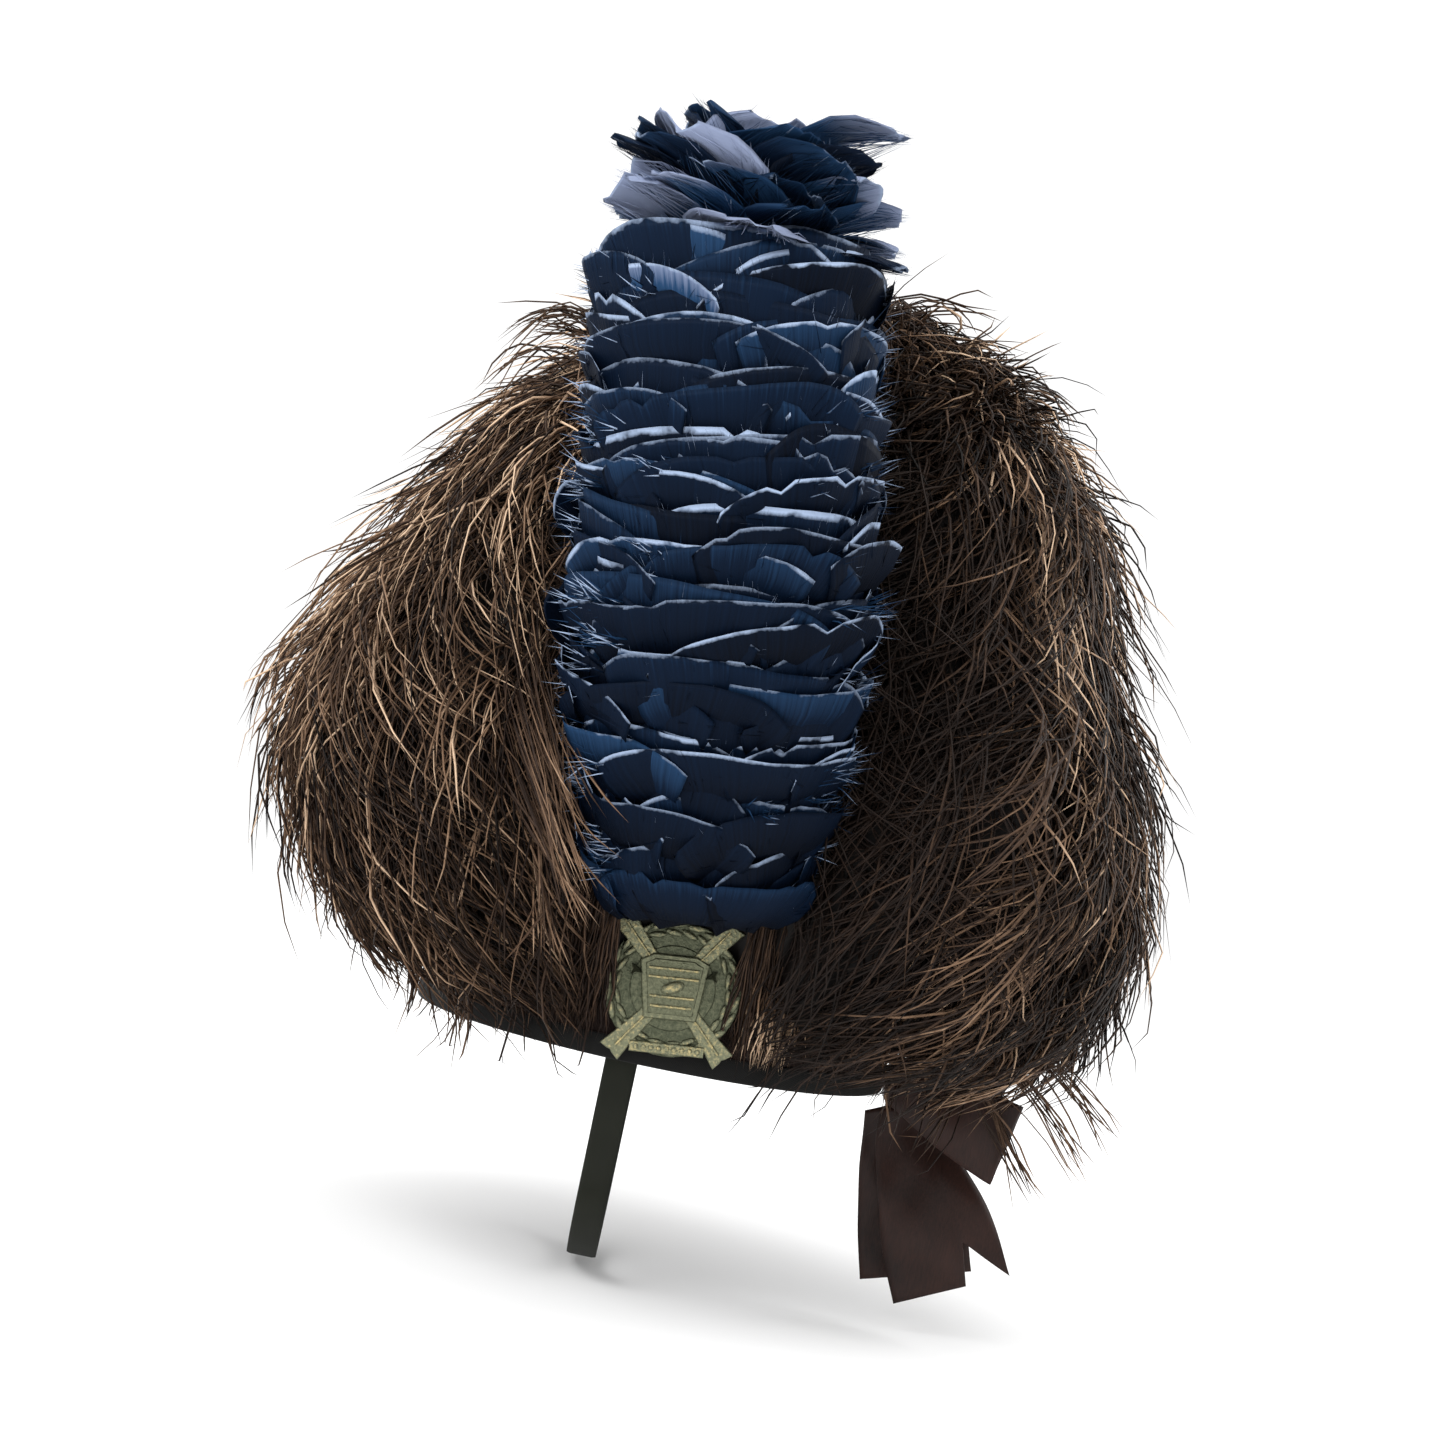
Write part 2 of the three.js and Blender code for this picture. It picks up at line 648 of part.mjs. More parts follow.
// The room that the hackle takes, with a little clearance, for cutting the plumes beside it.
function hackleRoom() {
  const steps = 8;
  const rings = Array.from({ length: steps + 1 }, (_, i) => {
    const along = i / steps;
    const reach = rowAt(HACKLE_FORM, "along", along).reach * 1.06 + HACKLE_CLEARANCE / HACKLE_HALF_WIDTH;
    return hackleRing(along, 16, () => ({ reach, rise: 0 }));
  });
  const { up } = hackleFrame(0);
  const below = rings[0].map((p) => p.clone().addScaledVector(up, -SCALLOP_DEPTH * 2));
  const top = hackleFrame(1).up;
  const above = rings[steps].map((p) => p.clone().addScaledVector(top, TUFT_PETAL_LENGTH * 1.3));
  return solidFrom(skin([below, ...rings, above]));
}

// Badge, drawn flat: x runs to the back, y up, and z out from the cap.

function badgeArm(angle) {
  const half = (width) => width / 2;
  const shape = new THREE.Shape([
    new THREE.Vector2(0, -half(BADGE_ARM_WAIST)),
    new THREE.Vector2(BADGE_ARM_LENGTH * 0.45, -half(BADGE_ARM_WAIST)),
    new THREE.Vector2(BADGE_ARM_LENGTH, -half(BADGE_ARM_TIP)),
    new THREE.Vector2(BADGE_ARM_LENGTH, half(BADGE_ARM_TIP)),
    new THREE.Vector2(BADGE_ARM_LENGTH * 0.45, half(BADGE_ARM_WAIST)),
    new THREE.Vector2(0, half(BADGE_ARM_WAIST)),
  ]);
  const depth = BADGE_PLATE + BADGE_ARM_RELIEF;
  return new THREE.ExtrudeGeometry(shape, { depth, bevelEnabled: false }).rotateZ(angle);
}

// A leaf of the wreath: a flattened eight-faced lens, leaning along the ring.
function wreathLeaf(index) {
  const angle = (TURN * (index + 0.5)) / WREATH_LEAVES;
  const radius = BADGE_RADIUS * (index % 2 ? 0.93 : 0.8);
  const lean = (Math.sin(angle) > 0 ? 1 : -1) * 0.35;
  return new THREE.OctahedronGeometry(1)
    .scale(4.6, 2, 1.5)
    .rotateZ(angle + Math.PI / 2 + lean)
    .translate(radius * Math.cos(angle), radius * Math.sin(angle), BADGE_PLATE);
}

function disc(radius, thickness, sides) {
  return new THREE.CylinderGeometry(radius, radius, thickness, sides)
    .rotateX(Math.PI / 2)
    .translate(0, 0, thickness / 2);
}

function badge(seat) {
  const armAngles = [50, 130, 230, 310].map((degrees) => degrees * RADIANS);
  const leaves = Array.from({ length: WREATH_LEAVES }, (_, i) => wreathLeaf(i));
  const scroll = new THREE.BoxGeometry(BADGE_RADIUS * 1.15, 4.6, BADGE_PLATE + 2)
    .translate(0, -BADGE_RADIUS * 0.93, BADGE_PLATE / 2 + 1);
  const boss = disc(BADGE_RADIUS * 0.36, BADGE_PLATE + BADGE_BOSS_RELIEF - 0.3, 12);
  const knob = new THREE.OctahedronGeometry(BADGE_RADIUS * 0.26)
    .scale(1, 1, 0.45)
    .translate(0, 0, BADGE_PLATE + BADGE_BOSS_RELIEF);
  const lugs = [-1, 1].map((side) =>
    new THREE.BoxGeometry(BADGE_LUG, BADGE_LUG, BADGE_STAND_OFF * 2)
      .translate(side * BADGE_RADIUS * 0.36, -BADGE_RADIUS * 0.35, BADGE_PLATE / 2 - BADGE_STAND_OFF),
  );
  const body = fuse([
    disc(BADGE_RADIUS, BADGE_PLATE, 24),
    disc(BADGE_RADIUS * 0.66, BADGE_PLATE + 0.6, 20),
    ...armAngles.map(badgeArm),
    ...leaves,
    scroll,
    boss,
    knob,
    ...lugs,
  ]);
  const slots = [-1, 1].map((side) =>
    new THREE.CylinderGeometry(BADGE_SLOT_RADIUS, BADGE_SLOT_RADIUS, BADGE_RADIUS, 3)
      .rotateX(Math.PI / 2)
      .translate(side * BADGE_RADIUS * 0.53, BADGE_RADIUS * 0.2, 0),
  );
  const band = skin([0, BAND_HEIGHT].map((z) => ovalRing(BAND_OUTSIDE + SEWN_GAP, z)));
  band.applyMatrix4(seat.clone().invert());
  return geometryFrom(body.subtract(fuse([...slots, band])));
}

// The badge's back face stands this far from the middle plane.
const BADGE_BACK_X = HEAD_WIDTH / 2 + BAND_OUTSIDE + BADGE_STAND_OFF;

function badgeRoom() {
  const half = BADGE_ARM_LENGTH + 2;
  return solidFrom(
    boxGeometry(
      new THREE.Vector3(HEAD_WIDTH / 4, BADGE_MIDDLE_Y - half * 0.82, -FUR_HEIGHT),
      new THREE.Vector3(FUR_SIDE * 1.5, BADGE_MIDDLE_Y + half * 0.82, BADGE_MIDDLE_Z + half * 0.9),
    ),
  );
}

// Flat strips: the chin strap and the ribbon

// A strip along a path. At each point it has a direction across its width, and its thickness is at
// right angles to both. A fold column cups it: its middle stands this far off the straight line.
function strip(path, width, thickness) {
  const sections = path.map((row, i) => {
    const before = path[Math.max(i - 1, 0)].at;
    const after = path[Math.min(i + 1, path.length - 1)].at;
    const ahead = after.clone().sub(before).normalize();
    const across = row.across.clone().addScaledVector(ahead, -row.across.dot(ahead)).normalize();
    const face = new THREE.Vector3().crossVectors(ahead, across);
    const half = (width * (row.width ?? 1)) / 2;
    const point = (side, depth) =>
      row.at
        .clone()
        .addScaledVector(across, side * half)
        .addScaledVector(face, depth * thickness * 0.5 + (row.fold ?? 0) * (1 - side * side));
    return [point(-1, 1), point(0, 1), point(1, 1), point(1, -1), point(0, -1), point(-1, -1)];
  });
  return skin(sections);
}

// Down from inside the rim on one side, round under the chin and up the other side.
function chinStrap() {
  const inside = HEAD_WIDTH / 2 - SEWN_GAP - STRAP_THICKNESS / 2;
  const rimShare = Math.sqrt(1 - (2 * STRAP_Y / HEAD_LENGTH) ** 2);
  const top = inside * rimShare - 1.2;
  const roundHeight = STRAP_DROP - STRAP_STRAIGHT;
  const across = new THREE.Vector3(0, 1, 0);
  const side = [
    new THREE.Vector3(top, STRAP_Y, STRAP_SEWN_LENGTH),
    new THREE.Vector3(top, STRAP_Y, -4),
    new THREE.Vector3((top + STRAP_HALF_SPREAD) / 2 + 2, STRAP_Y, -STRAP_STRAIGHT / 2),
  ];
  const steps = 12;
  const round = Array.from({ length: steps + 1 }, (_, i) => {
    const angle = (Math.PI * i) / steps;
    return new THREE.Vector3(
      STRAP_HALF_SPREAD * Math.cos(angle),
      STRAP_Y,
      -STRAP_STRAIGHT - roundHeight * Math.sin(angle),
    );
  });
  const mirrored = side.map((p) => new THREE.Vector3(-p.x, p.y, p.z)).reverse();
  const path = [...side, ...round, ...mirrored].map((at) => ({ at, across }));
  return strip(path, STRAP_WIDTH, STRAP_THICKNESS);
}

// Where the bow is sewn to the band.
const KNOT_MIDDLE = new THREE.Vector3(0, BAND_BACK_Y + SEWN_GAP + KNOT_DEPTH / 2, KNOT_MIDDLE_Z);

function ribbonKnot() {
  const half = { x: KNOT_WIDTH / 2, y: KNOT_DEPTH / 2, z: KNOT_HEIGHT / 2 };
  const sides = 10;
  const ring = ({ along, size }) =>
    Array.from({ length: sides }, (_, i) => {
      const angle = (TURN * i) / sides;
      const [aside, up] = [Math.cos(angle) * size, Math.sin(angle) * size];
      return new THREE.Vector3(along * half.x, aside * half.y, up * half.z).add(KNOT_MIDDLE);
    });
  return skin(KNOT_FORM.map(ring));
}

// A ribbon that leaves the knot at a place: its rows place its middle in ribbon widths to the wearer's
// left of there, or the right where side is -1, behind it and above it.
function ribbonPath(rows, place, side = 1) {
  return rows.map((row) => {
    const turn = row.turn * RADIANS;
    return {
      at: new THREE.Vector3(side * row.left, row.back, row.up).multiplyScalar(RIBBON_WIDTH).add(place),
      across: new THREE.Vector3(side * Math.cos(turn), Math.sin(turn), row.tilt ?? 0),
      width: row.width,
      fold: row.fold * RIBBON_WIDTH,
    };
  });
}

// A tail, with a notch cut out of its end where it has one.
function ribbonTail({ rows, notch }) {
  const underKnot = KNOT_MIDDLE.clone().setZ(KNOT_MIDDLE.z - KNOT_HEIGHT / 2 - SEWN_GAP);
  const path = ribbonPath(rows, underKnot);
  const tail = strip(path, RIBBON_WIDTH, RIBBON_THICKNESS);
  if (!notch) return tail;
  const end = path[path.length - 1];
  const ahead = end.at.clone().sub(path[path.length - 2].at).normalize();
  const across = end.across.clone().addScaledVector(ahead, -end.across.dot(ahead)).normalize();
  const face = new THREE.Vector3().crossVectors(ahead, across).multiplyScalar(RIBBON_WIDTH / 4);
  const corner = (aside, up) =>
    end.at.clone().addScaledVector(across, RIBBON_WIDTH * aside).addScaledVector(ahead, -RIBBON_WIDTH * up);
  const corners = [corner(notch.apex, notch.depth), corner(notch.from, -0.1), corner(notch.to, -0.1)];
  const cut = skin([corners.map((p) => p.clone().sub(face)), corners.map((p) => p.clone().add(face))]);
  return geometryFrom(solidFrom(tail).subtract(solidFrom(cut)));
}

// A loop of the bow: the ribbon goes out, folds over and comes back beside itself.
function ribbonLoop(side) {
  const besideKnot = KNOT_MIDDLE.clone();
  besideKnot.x += side * (KNOT_WIDTH / 2 + SEWN_GAP + RIBBON_THICKNESS / 2);
  const out = RIBBON_LOOP.map((row) => ({ ...row, left: row.left + row.open }));
  const back = RIBBON_LOOP.slice(0, -1).reverse().map((row) => ({ ...row, left: row.left - row.open }));
  return strip(ribbonPath([...out, ...back], besideKnot, side), RIBBON_WIDTH, RIBBON_THICKNESS);
}

// The room under the plumes where the bow hangs.
function ribbonRoom() {
  const half = RIBBON_WIDTH * 0.78;
  return solidFrom(
    boxGeometry(
      new THREE.Vector3(-half, 0, -FUR_HEIGHT),
      new THREE.Vector3(half, KNOT_MIDDLE.y + RIBBON_WIDTH * 1.12, KNOT_MIDDLE.z + KNOT_HEIGHT * 0.62),
    ),
  );
}

// Assembly

addPiece("cap_shell", capShell(), "cap");
addPiece("head_band", headBand(), "band");
addPiece("rim_binding", rimBinding(), "binding");

const taken = fuse([crownTuft(SEWN_GAP)])
  .add(capRoom())
  .add(hackleRoom())
  .add(badgeRoom())
  .add(ribbonRoom());
const fur = furForm();
for (const sector of PLUME_SECTORS) {
  const cut = fur.intersect(plumeRoom(sector)).subtract(taken);
  addPiece(sector.name, geometryFrom(largestBody(cut)), "ostrich");
}
addPiece("crown_tuft", crownTuft(), "ostrich");

addPiece("hackle", geometryFrom(hackle()), "hackle");

const badgeSeat = new THREE.Group();
badgeSeat.position.set(BADGE_BACK_X, BADGE_MIDDLE_Y, BADGE_MIDDLE_Z);
badgeSeat.rotation.set(Math.PI / 2, 0, Math.PI / 2, "ZYX");
badgeSeat.rotateZ(BADGE_LEAN_DEGREES * RADIANS);
badgeSeat.updateMatrix();
bonnet.add(badgeSeat);
addPiece("badge", badge(badgeSeat.matrix), "badge", badgeSeat);

addPiece("chin_strap", chinStrap(), "strap");

addPiece("ribbon_knot", ribbonKnot(), "ribbon");
Object.entries(RIBBON_TAILS).forEach(([name, tail]) => addPiece(name, ribbonTail(tail), "ribbon"));
addPiece("ribbon_loop_left", ribbonLoop(1), "ribbon");
addPiece("ribbon_loop_right", ribbonLoop(-1), "ribbon");

export default bonnet;
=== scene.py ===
"""The looks of a feather bonnet: barbs for its ostrich plumes, broad feathers for its hackle, cloth,
tape, satin ribbon and cast brass. Sizes are in millimetres until a mesh is made."""

import math

import bmesh
import bpy
import numpy as np
from mathutils import Matrix, Vector


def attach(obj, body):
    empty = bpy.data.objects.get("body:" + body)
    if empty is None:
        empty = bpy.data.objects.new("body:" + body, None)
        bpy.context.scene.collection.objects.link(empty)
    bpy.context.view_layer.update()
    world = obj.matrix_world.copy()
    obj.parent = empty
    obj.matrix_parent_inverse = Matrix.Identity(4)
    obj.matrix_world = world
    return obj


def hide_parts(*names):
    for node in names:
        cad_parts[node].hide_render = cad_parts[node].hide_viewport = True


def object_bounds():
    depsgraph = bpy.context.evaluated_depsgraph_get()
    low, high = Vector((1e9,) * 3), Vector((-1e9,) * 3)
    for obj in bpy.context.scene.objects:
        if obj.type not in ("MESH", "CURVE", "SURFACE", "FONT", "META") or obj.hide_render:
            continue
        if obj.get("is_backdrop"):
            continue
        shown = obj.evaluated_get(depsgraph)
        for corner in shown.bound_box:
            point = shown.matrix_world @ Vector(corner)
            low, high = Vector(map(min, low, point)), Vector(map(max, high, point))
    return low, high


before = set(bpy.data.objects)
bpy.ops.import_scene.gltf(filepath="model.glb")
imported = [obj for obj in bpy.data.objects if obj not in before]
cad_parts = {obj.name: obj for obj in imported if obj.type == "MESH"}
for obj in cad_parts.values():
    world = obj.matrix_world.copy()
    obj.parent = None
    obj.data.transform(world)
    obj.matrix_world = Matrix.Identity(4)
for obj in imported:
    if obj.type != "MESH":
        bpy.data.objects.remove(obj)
cad_low, cad_high = (list(corner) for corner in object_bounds())

MM = 0.001
TURN = 2 * math.pi

# Sizes of the forms, most of them shared with the CAD part
HEAD_LENGTH = 200
HEAD_WIDTH = 164
CAP_HEIGHT = 232
CAP_WALL = 2.5
SEWN_GAP = 0.4
BAND_HEIGHT = 42
BAND_THICKNESS = 2
BINDING_HEIGHT = 8
BINDING_THICKNESS = 1.2
BINDING_DROP = 1.2
BAND_INSIDE = CAP_WALL + SEWN_GAP
BAND_OUTSIDE = BAND_INSIDE + BAND_THICKNESS
BINDING_INSIDE = BAND_OUTSIDE + SEWN_GAP
BINDING_OUTSIDE = BINDING_INSIDE + BINDING_THICKNESS
FUR_HEIGHT = 340
FUR_FRONT = 194
FUR_BACK = 206
FUR_SIDE = 172
FUR_TOP_LEAN = 20
FUR_MIDDLE_SHARE = 0.36
FUR_REACH_OUT = 17
BAY_MIDDLE = math.radians(2)
BAY_FADE = math.radians(52)
BAY_DEPTH_SHARE = 1 - (HEAD_WIDTH / 2 + 26) / FUR_SIDE
HACKLE_HALF_WIDTH = 58
HACKLE_HALF_DEPTH = 40
HACKLE_TIERS = 11
TIER_LAYERS = 4
TIER_PETALS = 4
FRAYED_BARBS = 170
PETAL_RISE = 35
VANE_THICKNESS = 0.35
CORE_RINGS = 24
CORE_SIDES = 16
WIRE_RADIUS = 1.5
BADGE_MIDDLE_Y = 5
BADGE_MIDDLE_Z = 33
BADGE_TURN = math.radians(6)
BADGE_RADIUS = 27
BADGE_PLATE = 1.6
BADGE_ARM_LENGTH = 37
BADGE_LEAVES = 22
STRAP_Y = -10
STRAP_WIDTH = 13
STRAP_THICKNESS = 1.6
RIBBON_WIDTH = 50
SATIN_THICKNESS = 0.8
TAIL_SPREAD = 1.06
NOTCH_DEPTH_SHARE = 0.4
NOTCH_AREA_SHARE = 0.5 * 0.33 * NOTCH_DEPTH_SHARE * TAIL_SPREAD
KNOT_MIDDLE = np.array([0, 111.4, 2])
KNOT_SIZE = np.array([26, 9, 20])
KNOT_SIDES = 28

# Height up the outer form, and how far it reaches to the front, back and sides, from the crown down
FUR_FORM = np.array([
    (1, 0.02, 0.02, 0.02), (0.978, 0.3, 0.31, 0.31), (0.925, 0.46, 0.46, 0.47), (0.86, 0.58, 0.575, 0.59),
    (0.76, 0.73, 0.7, 0.74), (0.62, 0.87, 0.8, 0.87), (0.5, 0.95, 0.89, 0.95), (0.38, 1, 0.96, 1),
    (0.27, 0.98, 1, 0.99), (0.15, 0.89, 0.965, 0.91), (0.07, 0.76, 0.9, 0.77), (0.015, 0.58, 0.72, 0.64),
])
CAP_FORM = np.array([(0, 1), (0.2, 1), (0.45, 1.03), (0.64, 0.97), (0.8, 0.82), (0.93, 0.52), (0.985, 0.25)])
HACKLE_AXIS = np.array([(113, 5, 70), (148.1, -11.9, 200.7), (140.8, -33, 312)])
HACKLE_FORM = np.array([(0, 0.74), (0.2, 0.92), (0.42, 1.02), (0.75, 1), (1, 0.98)])

# Plumes: name, first and last angle in degrees
SECTORS = [("plume_bay", -23, 27)]
SECTORS += [(f"plume_{i + 1}", 27 + 38.75 * i, 27 + 38.75 * (i + 1)) for i in range(8)]


# Meshes


def mesh_piece(name, points, faces, material, smooth=True, **attributes):
    """A mesh from arrays: points in millimetres, and faces as arrays with a row for each face."""
    counts = np.concatenate([np.full(len(f), f.shape[1]) for f in faces])
    loops = np.concatenate([f.ravel() for f in faces]).astype(np.int32)
    starts = (np.cumsum(counts) - counts).astype(np.int32)
    mesh = bpy.data.meshes.new(name)
    mesh.vertices.add(len(points))
    mesh.vertices.foreach_set("co", (np.asarray(points, float) * MM).ravel())
    mesh.loops.add(len(loops))
    mesh.loops.foreach_set("vertex_index", loops)
    mesh.polygons.add(len(counts))
    mesh.polygons.foreach_set("loop_start", starts)
    mesh.polygons.foreach_set("use_smooth", np.full(len(counts), smooth))
    mesh.update(calc_edges=True)
    mesh.validate()
    for key, values in attributes.items():
        mesh.attributes.new(key, "FLOAT", "POINT").data.foreach_set("value", np.asarray(values, float))
    mesh.materials.append(material)
    piece = bpy.data.objects.new(name, mesh)
    bpy.context.collection.objects.link(piece)
    return piece


def stands_for(made, replaced):
    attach(made, "root")
    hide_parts(replaced)


class Parts:
    """Gathers points, faces and attributes of many small shapes into one mesh."""

    def __init__(self, *keys):
        self.points = []
        self.faces = []
        self.values = {key: [] for key in keys}
        self.count = 0

    def add(self, points, faces, **values):
        points = np.asarray(points, float).reshape(-1, 3)
        self.points.append(points)
        self.faces += [np.asarray(f) + self.count for f in faces]
        for key, kept in self.values.items():
            kept.append(np.broadcast_to(np.asarray(values.get(key, 0), float), (len(points),)))
        self.count += len(points)

    def add_barbs(self, paths, radii, facing, **values):
        """Barbs with a value of each attribute for each ring."""
        points, faces = barbs(paths, radii, facing)
        self.add(points, faces, **{key: along_rings(rings) for key, rings in values.items()})

    def piece(self, name, material, smooth=True):
        points = np.concatenate(self.points)
        values = {key: np.concatenate(kept) for key, kept in self.values.items()}
        return mesh_piece(name, points, self.faces, material, smooth, **values)


def turns_of(count):
    return np.linspace(0, TURN, count, endpoint=False)


def circle(radius, count, middle=(0, 0, 0)):
    ring = turns_of(count)
    return np.stack([radius * np.cos(ring), radius * np.sin(ring), 0 * ring], axis=-1) + np.array(middle)


def flat_reach(points):
    return np.hypot(points[..., 0], points[..., 1])


def unit(v):
    return v / np.maximum(np.linalg.norm(v, axis=-1, keepdims=True), 1e-9)


def barbs(paths, radii, facing):
    """Closed three-sided barbs along many paths at once: (barbs, rings, 3), ending in a point."""
    n, rings, _ = paths.shape
    ahead = unit(np.gradient(paths, axis=1))
    aside = unit(np.cross(ahead, facing))
    up = np.cross(aside, ahead)
    sides = np.arange(3) * TURN / 3
    body = paths[:, :-1, None, :] + radii[:, :-1, None, None] * (
        np.cos(sides)[:, None] * aside[:, :-1, None, :] - np.sin(sides)[:, None] * up[:, :-1, None, :]
    )
    per = 3 * (rings - 1) + 1
    points = np.concatenate([body.reshape(n, -1, 3), paths[:, -1:, :]], axis=1)
    quads = []
    for ring in range(rings - 2):
        for i in range(3):
            a = 3 * ring + i
            b = 3 * ring + (i + 1) % 3
            quads.append((a, b, b + 3, a + 3))
    last = 3 * (rings - 2)
    tris = [(last + i, last + (i + 1) % 3, per - 1) for i in range(3)] + [(0, 2, 1)]
    start = (np.arange(n) * per)[:, None, None]
    return points, [(start + np.array(rows)).reshape(-1, len(rows[0])) for rows in (quads, tris)]


def along_rings(values):
    """One value a ring, for every point of the barbs that they belong to: (barbs, rings)."""
    n = len(values)
    body = np.repeat(values[:, :-1], 3, axis=1).reshape(n, -1)
    return np.concatenate([body, values[:, -1:]], axis=1).ravel()


def grid_faces(rows, columns, looped_rows=False, looped_columns=False):
    """Quads over a grid of points, outward where rows x columns is outward."""
    r = np.arange(rows if looped_rows else rows - 1)[:, None]
    c = np.arange(columns if looped_columns else columns - 1)[None, :]
    r2 = (r + 1) % rows
    c2 = (c + 1) % columns
    corners = [r * columns + c, r2 * columns + c, r2 * columns + c2, r * columns + c2]
    return np.stack(corners, axis=-1).reshape(-1, 4)


def tube_faces(rows, sides):
    """Faces of a tube of rings with flat ends."""
    first = np.arange(sides)[None, ::-1]
    last = first[:, ::-1] + sides * (rows - 1)
    return [grid_faces(rows, sides, looped_columns=True)[:, ::-1], first, last]


def slab_faces(rows, columns):
    """Faces of a closed slab whose rows of points loop round its thickness."""
    k = np.arange(columns // 2 - 1)
    first = np.stack([k, columns - 1 - k, columns - 2 - k, k + 1], axis=-1)
    last = first[:, ::-1] + (rows - 1) * columns
    return [grid_faces(rows, columns, looped_columns=True)[:, ::-1], first, last]


def fan(start, count, apex):
    """Triangles from a ring of points to one point."""
    k = np.arange(count)
    return np.stack([k + start, (k + 1) % count + start, np.full(count, apex)], axis=-1)


def catmull(points, shares):
    """Points at shares of the length of a smooth curve through the given ones."""
    points = np.asarray(points, float)
    curve = np.concatenate([[2 * points[0] - points[1]], points, [2 * points[-1] - points[-2]]])
    fine = []
    for i in range(len(points) - 1):
        p0, p1, p2, p3 = curve[i : i + 4]
        t = np.linspace(0, 1, 40, endpoint=False)[:, None]
        square = 2 * p0 - 5 * p1 + 4 * p2 - p3
        cube = 3 * p1 - p0 - 3 * p2 + p3
        fine.append(0.5 * (2 * p1 + (p2 - p0) * t + square * t**2 + cube * t**3))
    fine = np.concatenate([*fine, points[-1:]])
    steps = np.append(0, np.cumsum(np.linalg.norm(np.diff(fine[:, :3], axis=0), axis=1)))
    at = np.asarray(shares, float) * steps[-1]
    return np.stack([np.interp(at, steps, fine[:, k]) for k in range(fine.shape[1])], axis=-1)


# Materials


def feed(made, value, socket):
    """Links another node's output to a socket, or sets the socket to a plain value."""
    if isinstance(value, bpy.types.NodeSocket):
        made.node_tree.links.new(value, socket)
    else:
        socket.default_value = value


def shade_by(made, name, value):
    feed(made, value, made.node_tree.nodes["Principled BSDF"].inputs[name])


def material(name, color, roughness, **sockets):
    made = bpy.data.materials.new(name)
    made.use_nodes = True
    made.diffuse_color = (*color, 1)
    sockets = {"Base_Color": made.diffuse_color, "Roughness": roughness, **sockets}
    for key, value in sockets.items():
        shade_by(made, key.replace("_", " "), value)
    return made


def node(made, kind, **settings):
    new = made.node_tree.nodes.new(kind)
    for key, value in settings.items():
        name = key.replace("_", " ")
        if name in new.inputs:
            feed(made, value, new.inputs[name])
        else:
            setattr(new, key, value)
    return new


def ramp(made, value, stops):
    new = node(made, "ShaderNodeValToRGB")
    elements = new.color_ramp.elements
    while len(elements) < len(stops):
        elements.new(0.5)
    for element, (at, color) in zip(elements, stops):
        element.position = at
        element.color = (*color, 1)
    feed(made, value, new.inputs[0])
    return new.outputs["Color"]


def attribute(made, key):
    return node(made, "ShaderNodeAttribute", attribute_name=key).outputs["Fac"]


def times(made, a, b):
    return math_node(made, "MULTIPLY", a, b)


def plus(made, a, b, clamp=False):
    return math_node(made, "ADD", a, b, clamp)


def math_node(made, operation, a, b, clamp=False):
    new = node(made, "ShaderNodeMath", operation=operation, use_clamp=clamp)
    feed(made, a, new.inputs[0])
    feed(made, b, new.inputs[1])
    return new.outputs[0]


def place(made, scale=(1, 1, 1)):
    """Object coordinates, in metres, scaled."""
    whole = node(made, "ShaderNodeTexCoord").outputs["Object"]
    return node(made, "ShaderNodeMapping", Vector=whole, Scale=scale).outputs["Vector"]


def noise(made, scale, detail=3, roughness=0.55, vector=None):
    sockets = {"Scale": scale, "Detail": detail, "Roughness": roughness, "Vector": vector or place(made)}
    return node(made, "ShaderNodeTexNoise", **sockets).outputs["Fac"]


def bump(made, height, distance, strength):
    new = node(made, "ShaderNodeBump", Distance=distance, Strength=strength, Height=height)
    shade_by(made, "Normal", new.outputs["Normal"])


def ostrich_material():
    made = material("Ostrich barbs", (0.03, 0.017, 0.011), 0.5, Specular_IOR_Level=0.14)
    # The tint ramps from near-black to tan; its light end carries the painted highlights on barb tips and on
    # the lit front.
    mixed = plus(made, attribute(made, "tint"), times(made, noise(made, 260, 4), 0.3), True)
    stops = [
        (0.1, (0.004, 0.0025, 0.002)), (0.3, (0.022, 0.0125, 0.0085)), (0.5, (0.075, 0.043, 0.026)),
        (0.72, (0.23, 0.14, 0.085)), (1, (0.7, 0.5, 0.34)),
    ]
    shade_by(made, "Base Color", ramp(made, mixed, stops))
    return made


